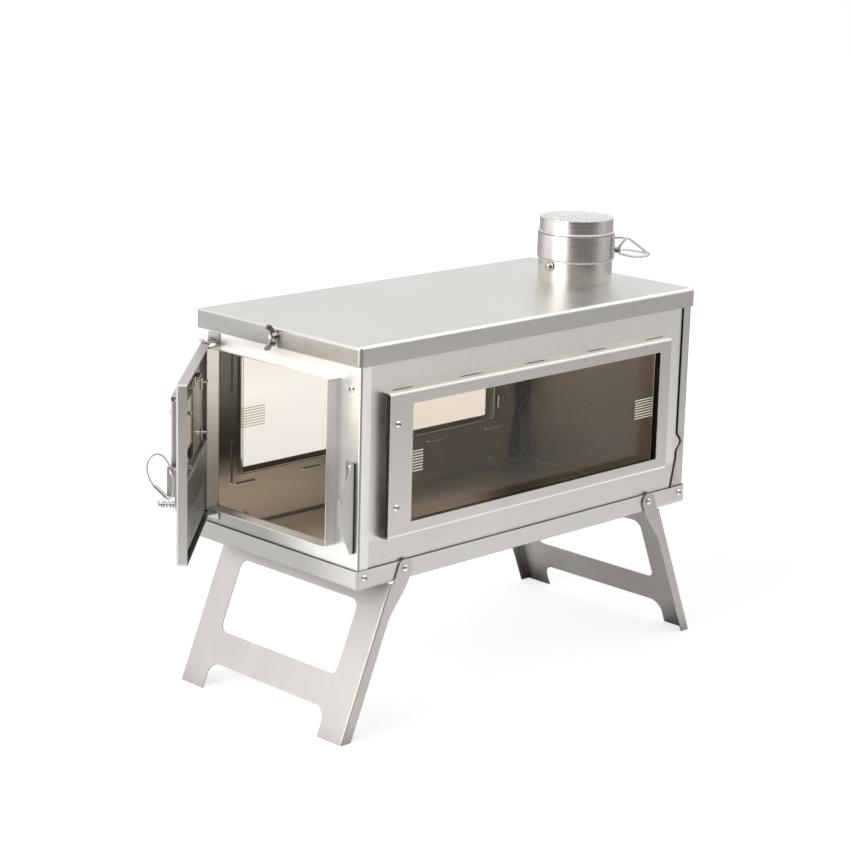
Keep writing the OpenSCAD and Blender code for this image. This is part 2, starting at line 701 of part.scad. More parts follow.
// Plate that slides behind the door's vents, with a finger tab through the door
module air_shutter() color(steel) open_door() difference() {
    union() {
        translate([-vent_n * vent_pitch / 2 - 3, door_in + seat_gap, vent_z - vent_h / 2 - 4])
            cube([vent_n * vent_pitch + 6, shutter_t, vent_h + 14]);
        translate([-1.2, door_out - 3, vent_z + vent_h / 2 + 7])
            cube([2.4, 3 + sheet_t + seat_gap + 0.2, 2]);
        translate([-5, door_out - 3.8, vent_z + vent_h / 2 + 5.5]) cube([10, 0.8, 5]);
    }
    face_ny() linear_extrude(body_l) vents(vent_h);
}

module shutter_rails() color(steel) open_door() for (s = [-1, 1]) {
    edge = s > 0 ? vent_z + vent_h / 2 + 10 : vent_z - vent_h / 2 - 4;
    w = vent_n * vent_pitch + 20;
    for (q = [[0.4, rail_d, 1.2], [-2.2, 0.8, 3.8]]) {
        lo = s > 0 ? edge + q[0] : edge - q[0] - q[2];
        translate([-w / 2, q[1] == rail_d ? door_in : door_in + rail_d - q[1], lo]) cube([w, q[1], q[2]]);
    }
}

// ---------- latch ----------
pivot_grip = spring_l + 1.05 + lever_t + seat_gap + sheet_t;
module latch_pivot_screw() color(bright) open_door() translate([latch_x, door_in - pivot_grip, latch_z])
    face_ny() screw(pivot_grip + 2.9, pivot_grip, hr = 3.4);

module latch_spring() color(bright) open_door() translate([latch_x, lever_out - 0.75, latch_z]) face_ny()
    sweep([for (i = [0:14 * spring_turns]) let (a = 360 * i / 14)
        [(spring_r - spring_wire) * cos(a), (spring_r - spring_wire) * sin(a),
         (spring_l - 0.2) * i / (14 * spring_turns)]], spring_wire, 6);

module latch_lever() color(steel) open_door() translate([latch_x, 0, latch_z]) difference() {
    union() {
        translate([0, lever_in, 0]) face_ny() linear_extrude(lever_t) {
            circle(lever_w / 2);
            translate([-lever_w / 2, 0]) square([lever_w, lever_reach - 2]);
            translate([-lever_w / 2 + 2, 0]) square([lever_w - 4, lever_reach]);
            for (s = [-1, 1]) translate([s * (lever_w / 2 - 2), lever_reach - 2]) circle(2);
        }
        translate([-lever_w / 2, lever_in - lever_flange, 5]) cube([1, lever_flange, lever_reach - 6]);
    }
    face_ny() bar(screw_r + fit_gap, body_l);
    translate([-lever_w, lever_in - lever_hole_o, lever_hole_h]) face_x() linear_extrude(lever_w) {
        square([2.4, 3], center = true);
        for (s = [-1.2, 1.2]) translate([s, 0]) circle(1.5);
    }
}

// Wire-rope ring through the lever's eye: across the door, out from it, and up from the pivot
cable_r = 0.75;
lanyard_route = [[1, 9, 6], [1, 8, 5], [0.9, 6.5, 4.8], [0.7, 4.6, 5.8], [0.5, 3.2, 8.5], [0.3, 2.7, 12],
    [0, 2.7, 16], [-0.8, 3, 20], [-2, 3.8, 23.4], [-4, 5, 26.2], [-5.8, 6.4, 29.5], [-6.3, 8.2, 33.2],
    [-6, 11, 37.2], [-5.2, 14, 39.4], [-4.2, 17.2, 40], [-3, 20.5, 38.4], [-1.8, 22.9, 35],
    [-0.8, 23.9, 30.5], [0, 23.4, 25.5], [0.6, 21.6, 20.4], [1, 19, 16], [1, 18, 15]];
function on_lever(q) = [latch_x + q.x, lever_in - q.y, latch_z + q.z];

module lanyard_cable() color(bright) open_door() sweep([for (q = lanyard_route) on_lever(q)], cable_r, 8);

module lanyard_ferrule() color(bright) open_door() {
    a = on_lever(lanyard_route[0]);
    b = on_lever(lanyard_route[len(lanyard_route) - 1]);
    d = b - a;
    translate(a) rotate([0, acos(d.z / norm(d)), atan2(d.y, d.x)]) cylinder(r = 2.1, h = norm(d));
}

// ---------- legs ----------
lobe_side = lobe_r - 0.25;
function lobe_in(u) = let (k = min(max((u - 6) / 43, 0), 1))
    -lobe_side + (lobe_side + strip_n) * k * k * (3 - 2 * k);

// The leg's side outline below its round lobe: n across, u down
module leg_outline() {
    polygon(concat([[plate_n + leg_t, plate_top], [plate_n - 1, plate_top], [lobe_side, plate_top - 1.5],
        [lobe_side, 2.2], [lobe_side - 0.75, 0], [0.75 - lobe_side, 0], [-lobe_side, 2.2]],
        [for (u = [6:4.3:49.1]) [lobe_in(u), u]], [[strip_n, leg_end], [plate_n + leg_t, leg_end]]));
}

module leg() color(steel) difference() {
    translate([0, -leg_pivot_y, leg_pivot_z]) rotate([-leg_splay, 0, 0]) rotate([180, 0, 0]) difference() {
        union() { intersection() {
            translate([-leg_x, 0, 0]) rotate([90, 0, 90]) linear_extrude(2 * leg_x) leg_outline();
            translate([0, 0, -20]) linear_extrude(leg_end + 40) difference() {
                translate([0, plate_n + leg_t - 40]) round_rect(2 * leg_x, 80, 1.7);
                translate([0, plate_n - 40]) round_rect(2 * leg_x - 2 * leg_t, 80, 0.7);
            }
        }
        for (x = [-leg_x, leg_x - leg_t]) translate([x, 0, 0]) face_x() bar(lobe_r, leg_t); }
        translate([0, 0, 70.5]) rotate([-90, 0, 0]) linear_extrude(40) round_rect(2 * cut_half, 66, 8);
        translate([0, 0, 162]) rotate([-90, 0, 0]) linear_extrude(40) round_rect(2 * cut_half, 60, 12);
        translate([-leg_x - 1, 0, 0]) face_x() bar(screw_r + fit_gap, 2 * leg_x + 2);
    }
    translate([-body_w, -2 * body_l, -leg_drop - 60]) cube([2 * body_w, 4 * body_l, 60]);
}
module front_leg() leg();
module rear_leg() rotate([0, 0, 180]) leg();

base_pan();
front_panel();
back_panel();
right_side_panel();
left_side_panel();
right_window_frame();
left_window_frame();
right_window_glass();
left_window_glass();
window_screws();
window_glass_clips();
latch_catch();
front_panel_screws();
pan_screws();
leg_pivot_rivets();
hinge_brackets();
hinge_pins();
lid_studs();
front_wing_nut();
rear_wing_nut();
lid();
flue_collar();
collar_screw();
damper_section();
damper_disc();
damper_shaft();
damper_handle();
spark_cap_ring();
spark_mesh();
door_panel();
door_window_frame();
door_glass();
door_glass_clips();
door_frame_screws();
door_baffle();
air_shutter();
shutter_rails();
latch_pivot_screw();
latch_spring();
latch_lever();
lanyard_cable();
lanyard_ferrule();
front_leg();
rear_leg();
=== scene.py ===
"""Dresses a packed tent wood stove in satin steel, glass and wire, on a pale studio stage."""
import math

import bpy
from mathutils import Matrix, Vector, noise


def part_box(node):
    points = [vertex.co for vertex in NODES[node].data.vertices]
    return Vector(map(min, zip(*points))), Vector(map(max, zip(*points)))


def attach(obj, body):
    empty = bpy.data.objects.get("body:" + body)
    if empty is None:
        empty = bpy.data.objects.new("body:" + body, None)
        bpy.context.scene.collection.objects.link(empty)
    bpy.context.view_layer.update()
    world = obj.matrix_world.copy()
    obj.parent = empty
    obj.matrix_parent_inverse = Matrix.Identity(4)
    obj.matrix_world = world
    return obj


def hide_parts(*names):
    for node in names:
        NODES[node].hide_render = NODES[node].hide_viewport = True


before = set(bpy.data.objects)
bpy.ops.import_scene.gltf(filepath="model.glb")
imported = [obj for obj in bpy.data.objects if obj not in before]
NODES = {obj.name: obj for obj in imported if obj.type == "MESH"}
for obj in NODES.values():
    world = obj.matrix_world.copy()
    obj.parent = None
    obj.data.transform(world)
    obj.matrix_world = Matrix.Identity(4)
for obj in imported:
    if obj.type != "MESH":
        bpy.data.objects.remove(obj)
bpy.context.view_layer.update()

bl_info = {
    "name": "Tent Stove Finish",
    "version": (1, 0, 0),
    "blender": (4, 5, 0),
    "location": "3D View > Sidebar > Stove",
    "description": "Satin steel, smoked glass, woven screen, wire rope and a pale studio for a tent wood stove",
    "category": "Object",
}

FLOOR_Z = min(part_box("front_leg")[0].z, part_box("rear_leg")[0].z)

# Lengths are in metres, and angles in radians, but for the camera's

# Camera: its place, its turn to the right, its look down and its roll (degrees), and its lens (millimetres)
CAMERA_AT = (1.4156, -1.4467, 0.5958)
CAMERA_ANGLES = (45.05, 14.107, 1.466)
CAMERA_LENS = 97.56

# Door: its upright hinge line, the angle it stands open by, and the latch's pivot while it is closed
HINGE = Vector((-0.082, -0.2176, 0.0))
DOOR_OPEN = math.radians(46)
LATCH = Vector((0.072, -0.2239, 0.079))

# Flue: its axis along the stove, the outer radii of its collar and band, the heights of its shaft and screen,
# and the turn of the screen's weave
FLUE_Y = 0.160
COLLAR_R = 0.03475
BAND_R = 0.0360
SHAFT_Z = 0.2327
SCREEN_Z = 0.2625
SCREEN_TURN = math.radians(28)

# Wire-rope ring in the latch lever's own directions: across the door, out from it, up
ROPE_ROUTE = [(0.001, 0.009, 0.006), (0.001, 0.008, 0.005), (0.0009, 0.0065, 0.0048), (0.0007, 0.0046, 0.0058),
    (0.0005, 0.0032, 0.0085), (0.0003, 0.0027, 0.012), (0.0, 0.0027, 0.016), (-0.0008, 0.003, 0.020),
    (-0.002, 0.0038, 0.0234), (-0.004, 0.005, 0.0262), (-0.0058, 0.0064, 0.0295), (-0.0063, 0.0082, 0.0332),
    (-0.006, 0.011, 0.0372), (-0.0052, 0.014, 0.0394), (-0.0042, 0.0172, 0.040), (-0.003, 0.0205, 0.0384),
    (-0.0018, 0.0229, 0.035), (-0.0008, 0.0239, 0.0305), (0.0, 0.0234, 0.0255), (0.0006, 0.0216, 0.0204),
    (0.001, 0.019, 0.016), (0.001, 0.018, 0.015)]
# Rope: length of one turn of a strand, and, in radii of a strand, the rope's radius and how far out
# its outer strands lie
ROPE_LAY, ROPE_STRANDS, STRAND_OUT = 0.0085, 2.95, 1.95

# Latch spring: its foot in front of the latch's pivot and its length, and how much its coils close up
# at the ends
SPRING_FOOT, SPRING_LENGTH, SPRING_EASE = 0.0012, 0.0118, 0.35

# Wire loop of the damper: distance out from the band, and height above the shaft
HANDLE_ROUTE = [(0.0048, 0.002), (0.0055, 0.004), (0.008, 0.0074), (0.0103, 0.0104), (0.0124, 0.0115),
    (0.015, 0.0104), (0.022, 0.0052), (0.029, 0.0), (0.0324, -0.0024), (0.0318, -0.0044), (0.0284, -0.0052),
    (0.0228, -0.006), (0.016, -0.0054), (0.010, -0.0042), (0.0062, -0.0034), (0.0048, -0.0019)]
# Its inner lock strand and its free tail: out from the band, to the side, above the shaft
LOCK_ROUTE = [(0.0078, 0.0006, 0.0003), (0.012, 0.0008, 0.0004), (0.018, 0.0006, -0.0003),
    (0.0255, 0.0002, -0.0014), (0.0298, 0.0, -0.0024)]
TAIL_ROUTE = [(0.0124, 0.0008, 0.0112), (0.009, 0.0018, 0.0116), (0.005, 0.0042, 0.0112),
    (0.001, 0.0072, 0.0104)]
# Radii of their wires
LOOP_WIRE, STRAND_WIRE = 0.00135, 0.0011

# Collar screw with its washer, neck and domed head: radius, distance out from the collar
KNOB_PROFILE = [(0.0, -0.002), (0.0015, -0.002), (0.0015, -0.0001), (0.0044, -0.0001), (0.0047, 0.0002),
    (0.0047, 0.0007), (0.0043, 0.0011), (0.0024, 0.0012), (0.0022, 0.0024), (0.0034, 0.0026), (0.0038, 0.0031),
    (0.0037, 0.0041), (0.0031, 0.0049), (0.0021, 0.0054), (0.0013, 0.0055), (0.0011, 0.0046), (0.0, 0.0045)]

# Gasket cord at the open end of a window frame: distances across and along the stove, wander, radius
GASKET_X, GASKET_Y, GASKET_DRIFT, GASKET_R = 0.1078, 0.1828, 0.0006, 0.0019
# It ends this far inside its frame, and has this many steps
GASKET_MARGIN, GASKET_STEPS = 0.003, 60
# The wall's outer face under a window frame is painted with a dark shadow up to this distance along the stove,
# between these heights
RECESS_SHADOW_Y, RECESS_SHADOW_Z = 0.172, (0.042, 0.163)
# Dark cord behind the joint of a side panel and the back panel, put there as painted shade that keeps light out
# of the gap: distance along the stove, height
SEAM_ROUTE = [(0.1915, 0.0045), (0.1915, 0.0165), (0.1975, 0.045), (0.1978, 0.0505), (0.2, 0.0542),
    (0.2026, 0.0575), (0.2035, 0.060), (0.2026, 0.0625), (0.2, 0.0658), (0.1978, 0.0695), (0.1975, 0.085),
    (0.1975, 0.202)]
# Its distance across the stove, how far the left one lies nearer the door, and its radius
SEAM_X, SEAM_LEAN, SEAM_R = 0.0988, 0.0019, 0.0023

# Side panes, against their CAD sheets: shorter at both ends, lower above and below, and shorter again at the
# closed end of the frame
PANE_ENDS, PANE_RIMS, PANE_CLOSED_END = 0.0002, 0.006, 0.007

# Printed stripes: height of the lowest line and of the whole patch, ends of a patch from the window's middle,
# half a line's width, and where the ink's film starts and ends above the glass
STRIPE_FOOT, STRIPE_RISE = 0.0915, 0.017
STRIPE_ENDS = (0.136, 0.182)
STRIPE_HALF = 0.0005
STRIPE_FILM = (0.00002, 0.00010)

# Dark colour painted as the shadow in the recess under each window frame
RECESS_SHADOW_COLOUR = (0.075, 0.06, 0.05)
# Colour of the painted shade in hollows
HOLLOW_SHADE_COLOUR = (0.02, 0.018, 0.015)

FLUE_PIECES = ("flue_collar", "damper_section", "spark_cap_ring", "damper_disc")
BRIGHT_PIECES = ("window_screws", "front_panel_screws", "pan_screws", "leg_pivot_rivets", "hinge_pins",
    "lid_studs", "door_frame_screws", "latch_pivot_screw", "window_glass_clips", "door_glass_clips")
DARK_PIECES = ("damper_shaft", "front_wing_nut", "rear_wing_nut")

# How finely the grain runs along each axis: drawn out along the stove, across it, round the flue and down the
# legs, and alike all ways on the door, the latch, the screen, small pieces and wires
LENGTHWISE, CROSSWISE, ROUND_FLUE, DOWN_LEG = (700, 16, 700), (16, 700, 700), (20, 20, 900), (260, 260, 60)
DOOR_GRAIN, LATCH_GRAIN, SCREEN_GRAIN = (180, 180, 180), (160, 160, 160), (400, 400, 400)
SMALL_GRAIN, WIRE_GRAIN = (500, 500, 500), (600, 600, 600)

# Parts of a sheet painted darker or paler, as painted shade and painted highlights for how the light falls
# there: low corner, high corner, soft border along each axis, factor
CRISP = (0.0001, 0.0001, 0.0001)
# All are painted shade but TOP_FOLD, a painted highlight along the lid's top fold, and INNER_LOW, painted light
# low on the left wall's inner face
CORNER_LINE = ((0.1022, -0.2096, 0.0), (0.104, -0.2080, 0.21), CRISP, 0.45)
UNDER_RIM = ((-0.20, -0.2112, 0.0), (-0.02, -0.2090, 0.034), (0.09, 0.0001, 0.006), 0.42)
RIM_SIDE = ((0.0766, -0.2235, 0.030), (0.0780, -0.2106, 0.180), CRISP, 0.80)
CATCH_ROOT = ((0.0955, -0.2120, 0.0), (0.0990, -0.2098, 0.11), CRISP, 0.06)
PAN_SHADE = ((-0.20, -0.2125, -0.001), (0.03, -0.2110, 0.018), (0.07, 0.0002, 0.0002), 0.66)
SKIRT_LEFT = ((-0.14, -0.23, 0.17), (-0.07, -0.2117, 0.2040), (0.15, 0.0002, 0.0002), 0.66)
TOP_FOLD = ((0.1012, -0.212, 0.2025), (0.1037, 0.212, 0.2056), CRISP, 1.40)
REAR_LEG = ((-0.2, 0.05, -0.2), (0.2, 0.3, 0.1), CRISP, 0.84)
INNER_LOW = ((-0.1014, -0.20, -0.01), (-0.1005, 0.02, 0.042), (0.0001, 0.05, 0.02), 1.28)
INNER_TOP = ((-0.1014, -0.215, 0.075), (-0.1005, -0.165, 0.22), (0.0001, 0.004, 0.04), 0.18)
WALL_LOW = ((0.1010, -0.22, -0.01), (0.11, 0.22, 0.038), (0.0001, 0.01, 0.006), 0.82)
# Painted shade where the frames' flanges meet the walls, along the rear seams and in the slots
TAB_ENDS = [((x - 0.001, -0.2, 0.0), (x + 0.001, 0.2, 0.2), CRISP, 0.2) for x in (0.1012, -0.1012)]
SEAMS = [zone for low, high in ((0.0950, 0.10192), (-0.10192, -0.0950)) for zone in (
    ((low, 0.1935, 0.0), (high, 0.2002, 0.204), CRISP, 0.10),
    ((low, 0.1990, 0.051), (high, 0.2062, 0.069), CRISP, 0.10))]
SLOTS = [((low, -0.19, 0.1634), (high, 0.18, 0.1658), (0.00003, 0.001, 0.0001), 0.08)
    for low, high in ((0.1013, 0.10192), (-0.10192, -0.1013))]

# What the metal mirrors of the room, later ones over earlier ones: direction, where it starts and where it is
# full (cosines of the angle to it), colour
ROOM_LOBES = (
    ((0.80, -0.60, 0.0), 0.30, 0.95, (0.07, 0.065, 0.06)),
    ((-0.66, -0.66, 0.35), 0.35, 1.0, (0.90, 0.885, 0.86)),
    ((0.0, 0.0, 1.0), 0.42, 0.56, (1.7, 1.7, 1.7)),
    ((-0.707, 0.707, 0.0), -0.15, 0.65, (1.0, 1.0, 1.0)),
)

# Soft lamps: place, width, height; and the point above the floor that they look at
KEY_LAMP = ((-0.2, -1.9, 0.6), 1.7, 1.4)
FILL_LAMP = ((1.35, 1.25, 0.5), 1.2, 1.2)
LAMP_AIM = Vector((0, 0, 0.1))

# Floor: half its width; where it starts to dim and where it is dim, by the distance from the stove, by the
# reach towards the camera, and by the place along the stove
FLOOR_HALF = 6
DIM_AWAY, DIM_FRONT, DIM_ALONG = (0.45, 1.5), (0.55, 1.2), (-1.1, -0.1)
# Colours that it dims to, far off and in front
FAR_FLOOR, FRONT_FLOOR = (0.10, 0.095, 0.09), (0.06, 0.055, 0.05)


# ---------- settings ----------

def colour_field(name, about, default):
    return bpy.props.FloatVectorProperty(name=name, description=about, subtype="COLOR", size=3, min=0, max=1,
        default=default)


def length_field(name, about, low, high, default):
    return bpy.props.FloatProperty(name=name, description=about, subtype="DISTANCE", unit="LENGTH", min=low,
        max=high, default=default, precision=5)


class StoveSteel(bpy.types.PropertyGroup):
    """Colours and finish of the folded sheets and the small metal pieces"""
    sheet_colour: colour_field("Sheet colour", "Colour of the satin sheet", (0.70, 0.68, 0.65))
    leg_colour: colour_field("Leg colour", "Colour of the warmer leg sheet", (0.52, 0.498, 0.478))
    bright_colour: colour_field("Fastener colour", "Colour of screws, nuts and wire", (0.72, 0.71, 0.69))
    roughness: bpy.props.FloatProperty(name="Sheet roughness", description="How satin the sheet is",
        subtype="FACTOR", min=0.1, max=0.8, default=0.36)
    grain: bpy.props.FloatProperty(name="Grain depth", description="Height of the brushed grain",
        subtype="DISTANCE", unit="LENGTH", min=0, max=0.0005, default=0.00002, precision=6)
    marks: bpy.props.FloatProperty(name="Handling marks", description="Strength of smudges and rolling marks",
        subtype="FACTOR", min=0, max=1, default=0.7)


class StoveGlass(bpy.types.PropertyGroup):
    """Tints of the side windows and the door window"""
    side_tint: colour_field("Side window tint", "Tint of the long windows", (0.885, 0.833, 0.76))
    door_tint: colour_field("Door window tint", "Tint of the door's window", (0.93, 0.80, 0.69))
    seat_gap: length_field("Seat gap", "Space between a pane and the wall behind it", 0.0001, 0.001, 0.0003)
    edge: length_field("Ground edge", "Width of a pane's ground edges", 0.0001, 0.0015, 0.0006)
    stripe_colour: colour_field("Stripe colour", "Colour of the printed stripes", (0.92, 0.87, 0.76))
    stripe_count: bpy.props.IntProperty(name="Stripes", description="Printed stripes in one patch",
        min=3, max=16, default=8)


class StoveWire(bpy.types.PropertyGroup):
    """Sizes of the wire pieces"""
    screen_pitch: length_field("Screen pitch", "Distance between the screen's wires", 0.001, 0.006, 0.0033)
    screen_wire: length_field("Screen wire", "Radius of the screen's wires", 0.0001, 0.001, 0.0008)
    screen_dome: length_field("Screen dome", "How far the screen bulges upwards", 0, 0.005, 0.002)
    rope_radius: length_field("Rope radius", "Radius of the wire rope", 0.0004, 0.0015, 0.00075)
    spring_radius: length_field("Spring radius", "Middle radius of the latch spring", 0.0022, 0.004, 0.00275)
    spring_wire: length_field("Spring wire", "Radius of the spring's wire", 0.0002, 0.0008, 0.00045)
    spring_turns: bpy.props.IntProperty(name="Spring turns", description="Turns of the latch spring",
        min=3, max=10, default=5)


class StoveStudio(bpy.types.PropertyGroup):
    """Light and floor"""
    surround: bpy.props.FloatProperty(name="Surround",
        description="Brightness of the white surround on the metal", min=0, max=2, default=0.37)
    room_colour: colour_field("Room colour", "Dim, warm side of the studio in the metal", (0.26, 0.24, 0.215))
    key: bpy.props.FloatProperty(name="Key lamp", description="Power of the large lamp at the door end",
        subtype="POWER", unit="POWER", min=0, max=500, default=19)
    fill: bpy.props.FloatProperty(name="Fill lamp", description="Power of the lamp on the long side",
        subtype="POWER", unit="POWER", min=0, max=500, default=1.4)
    falloff: bpy.props.FloatProperty(name="Floor falloff",
        description="How far the floor dims away from the stove", subtype="FACTOR", min=0, max=1, default=0.72)
    floor_lift: bpy.props.FloatProperty(name="Floor lift",
        description="Extra brightness of the floor near the stove", min=0, max=1, default=0.6)
    floor_colour: colour_field("Floor colour", "Colour of the studio floor", (0.93, 0.93, 0.925))


# ---------- node helpers ----------

def node(tree, kind, inputs=(), **settings):
    """Adds a node, sets it up, and joins or fills its inputs"""
    made = tree.nodes.new("ShaderNode" + kind)
    for key, value in settings.items():
        setattr(made, key, value)
    for key, value in dict(inputs).items():
        if isinstance(value, bpy.types.NodeSocket):
            tree.links.new(value, made.inputs[key])
        else:
            made.inputs[key].default_value = value
    return made


def maths(tree, operation, first, second=0.0, clamp=False):
    return node(tree, "Math", {0: first, 1: second}, operation=operation, use_clamp=clamp).outputs[0]


def times(tree, first, second):
    return maths(tree, "MULTIPLY", first, second)


def toward(tree, vector, direction):
    """How far a vector reaches in a direction"""
    return node(tree, "VectorMath", {0: vector, 1: direction}, operation="DOT_PRODUCT").outputs["Value"]


def own_place(tree):
    """The place of a point in its object's own space"""
    return node(tree, "TexCoord").outputs["Object"]


def spread(tree, value, low, high, to_low, to_high, smooth=False):
    """Maps a value from one range to another, and holds it inside the second"""
    kind = "SMOOTHSTEP" if smooth else "LINEAR"
    return node(tree, "MapRange", {"Value": value, "From Min": low, "From Max": high, "To Min": to_low,
        "To Max": to_high}, interpolation_type=kind).outputs[0]


def mixed(tree, factor, first, second, mode="MIX"):
    made = node(tree, "Mix", {"Factor": factor}, data_type="RGBA", blend_type=mode)
    for socket, value in ((made.inputs[6], first), (made.inputs[7], second)):
        if isinstance(value, bpy.types.NodeSocket):
            tree.links.new(value, socket)
        else:
            socket.default_value = value if len(value) == 4 else (*value, 1)
    return made.outputs[2]


def grains(tree, vector, scale, detail=2.0, roughness=0.5, distortion=0.0):
    return node(tree, "TexNoise", {"Vector": vector, "Scale": scale, "Detail": detail, "Roughness": roughness,
        "Distortion": distortion}).outputs["Fac"]


def effect(name, inputs, outputs):
    """A node group with named inputs and outputs, and its two end nodes"""
    tree = bpy.data.node_groups.new(name, "ShaderNodeTree")
    for label, kind, default in inputs:
        socket = tree.interface.new_socket(label, in_out="INPUT", socket_type="NodeSocket" + kind)
        socket.default_value = default
    for label, kind in outputs:
        tree.interface.new_socket(label, in_out="OUTPUT", socket_type="NodeSocket" + kind)
    return tree, tree.nodes.new("NodeGroupInput").outputs, tree.nodes.new("NodeGroupOutput").inputs


def grain_effect():
    """Fine lines of the rolling mill, drawn out along one direction"""
    tree, given, out = effect("Rolled Grain",
        [("Stretch", "Vector", (900, 12, 900)), ("Contrast", "Float", 0.06)],
        [("Shade", "Float"), ("Roughness", "Float"), ("Height", "Float")])
    place = own_place(tree)
    drawn = node(tree, "VectorMath", {0: place, 1: given["Stretch"]}, operation="MULTIPLY").outputs[0]
    fine = grains(tree, drawn, 1.0, 4, 0.6)
    broad = grains(tree, drawn, 0.16, 2, 0.5)
    both = maths(tree, "ADD", times(tree, fine, 0.55), times(tree, broad, 0.45))
    centred = maths(tree, "SUBTRACT", both, 0.5)
    tree.links.new(maths(tree, "ADD", times(tree, centred, given["Contrast"]), 1.0), out["Shade"])
    tree.links.new(times(tree, centred, 0.30), out["Roughness"])
    tree.links.new(fine, out["Height"])
    return tree


def marks_effect():
    """Soft clouding of the sheet, fine specks, finger smudges and a few hairline scratches"""
    tree, given, out = effect("Handling Marks", [("Amount", "Float", 0.5), ("Smudge Size", "Float", 38.0)],
        [("Shade", "Float"), ("Roughness", "Float"), ("Scratch", "Float")])
    place = own_place(tree)
    clouds = grains(tree, place, 7.0, 3, 0.55, 0.4)
    smudge = spread(tree, grains(tree, place, given["Smudge Size"], 5, 0.62, 1.2), 0.52, 0.74, 0, 1, True)
    turned = node(tree, "Mapping", {"Vector": place, "Rotation": (0.35, 0.6, 0.9),
        "Scale": (14, 620, 620)}).outputs[0]
    scratch = spread(tree, grains(tree, turned, 1.0, 1, 0.4), 0.735, 0.78, 0, 1)
    speck = maths(tree, "SUBTRACT", grains(tree, place, 260.0, 2, 0.6), 0.5)
    cloud_shade = times(tree, maths(tree, "SUBTRACT", clouds, 0.5), 0.16)
    cloud_shade = maths(tree, "ADD", cloud_shade, times(tree, speck, 0.05))
    smudge_shade = times(tree, smudge, -0.035)
    total = times(tree, maths(tree, "ADD", cloud_shade, smudge_shade), given["Amount"])
    tree.links.new(maths(tree, "ADD", total, 1.0), out["Shade"])
    rough = maths(tree, "ADD", times(tree, smudge, 0.10), times(tree, scratch, -0.08))
    tree.links.new(times(tree, rough, given["Amount"]), out["Roughness"])
    tree.links.new(times(tree, scratch, given["Amount"]), out["Scratch"])
    return tree


def edge_effect():
    """Rounded edges: a softened normal, and a mask along the folds and cut rims where an edge highlight is
    painted
    """
    tree, given, out = effect("Rounded Edge", [("Radius", "Float", 0.0004)],
        [("Edge", "Float"), ("Normal", "Vector")])
    soft = node(tree, "Bevel", {"Radius": given["Radius"]}, samples=4).outputs[0]
    plain = node(tree, "NewGeometry").outputs["Normal"]
    facing = toward(tree, soft, plain)
    tree.links.new(spread(tree, facing, 0.995, 0.80, 0, 1), out["Edge"])
    tree.links.new(soft, out["Normal"])
    return tree


def fire_effect():
    """Masks of the firebox's inner faces, where a tint of painted shade goes, and of each wall's outer face
    under its window frame, where the recess shadow is painted
    """
    tree, given, out = effect("Fire Side", [("Half Width", "Float", 0.1016), ("Half Length", "Float", 0.2096),
        ("Top", "Float", 0.2051)], [("Inside", "Float"), ("Gasket", "Float")])
    x, y, z = node(tree, "SeparateXYZ", {0: own_place(tree)}).outputs
    across, along = maths(tree, "ABSOLUTE", x), maths(tree, "ABSOLUTE", y)

    def above(value, limit):
        return maths(tree, "GREATER_THAN", value, limit)

    def below(value, limit):
        return maths(tree, "LESS_THAN", value, limit)

    level = times(tree, above(z, 0.0004), below(z, given["Top"]))
    walls = times(tree, below(across, given["Half Width"]), below(along, given["Half Length"]))
    inside = times(tree, walls, level)
    # The wall's outer face under a window frame, where a recess shadow is painted
    recess_shadow = times(tree, times(tree, below(along, RECESS_SHADOW_Y), below(z, RECESS_SHADOW_Z[1])), above(z, RECESS_SHADOW_Z[0]))
    tree.links.new(inside, out["Inside"])
    tree.links.new(times(tree, recess_shadow, above(across, given["Half Width"])), out["Gasket"])
    return tree


def hollow_effect():
    """A mask of sockets, seams and corners, where little light gets in and shade is painted"""
    tree, given, out = effect("Hollows", [("Reach", "Float", 0.0015)], [("Hollow", "Float")])
    shade = node(tree, "AmbientOcclusion", {"Distance": given["Reach"]}, samples=6).outputs["AO"]
    tree.links.new(spread(tree, shade, 0.35, 0.85, 1, 0), out["Hollow"])
    return tree


def joined(tree, group, inputs=()):
    """Places a node group in a material with its own values"""
    made = tree.nodes.new("ShaderNodeGroup")
    made.node_tree = group
    for key, value in dict(inputs).items():
        made.inputs[key].default_value = value
    return made.outputs


def new_finish(name, **sockets):
    """An empty material, its node tree and its shader with the plain values set"""
    finish = bpy.data.materials.new(name)
    finish.use_nodes = True
    tree = finish.node_tree
    shader = tree.nodes["Principled BSDF"]
    for key, value in sockets.items():
        shader.inputs[key.replace("_", " ")].default_value = value
    return finish, tree, shader


def painted_side_and_low_shade(tree, tone, heights, low_tone):
    """A mask value of painted shade: folded sides darker at one tone, and a tone that darkens towards the
    bottom
    """
    places = node(tree, "TexCoord").outputs
    upward = node(tree, "SeparateXYZ", {0: places["Normal"]}).outputs["Z"]
    level = spread(tree, maths(tree, "ABSOLUTE", upward), 0.05, 0.3, tone, 1.0)
    height = node(tree, "SeparateXYZ", {0: places["Object"]}).outputs["Z"]
    return times(tree, level, spread(tree, height, heights[0], heights[1], low_tone, 1.0, True))


def zone_tone(tree, low, high, soft, dark):
    """A mask value of painted shade that changes inside a box of the object's space, with a soft border along
    each axis; a factor above one makes it a painted highlight
    """
    places = node(tree, "SeparateXYZ", {0: own_place(tree)}).outputs
    inside = None
    for place, least, most, border in zip(places, low, high, soft):
        off = maths(tree, "ABSOLUTE", maths(tree, "SUBTRACT", place, (least + most) / 2))
        half = (most - least) / 2
        near = spread(tree, off, half, half + border, 1, 0, True)
        inside = near if inside is None else times(tree, inside, near)
    return spread(tree, inside, 0, 1, 1.0, dark)


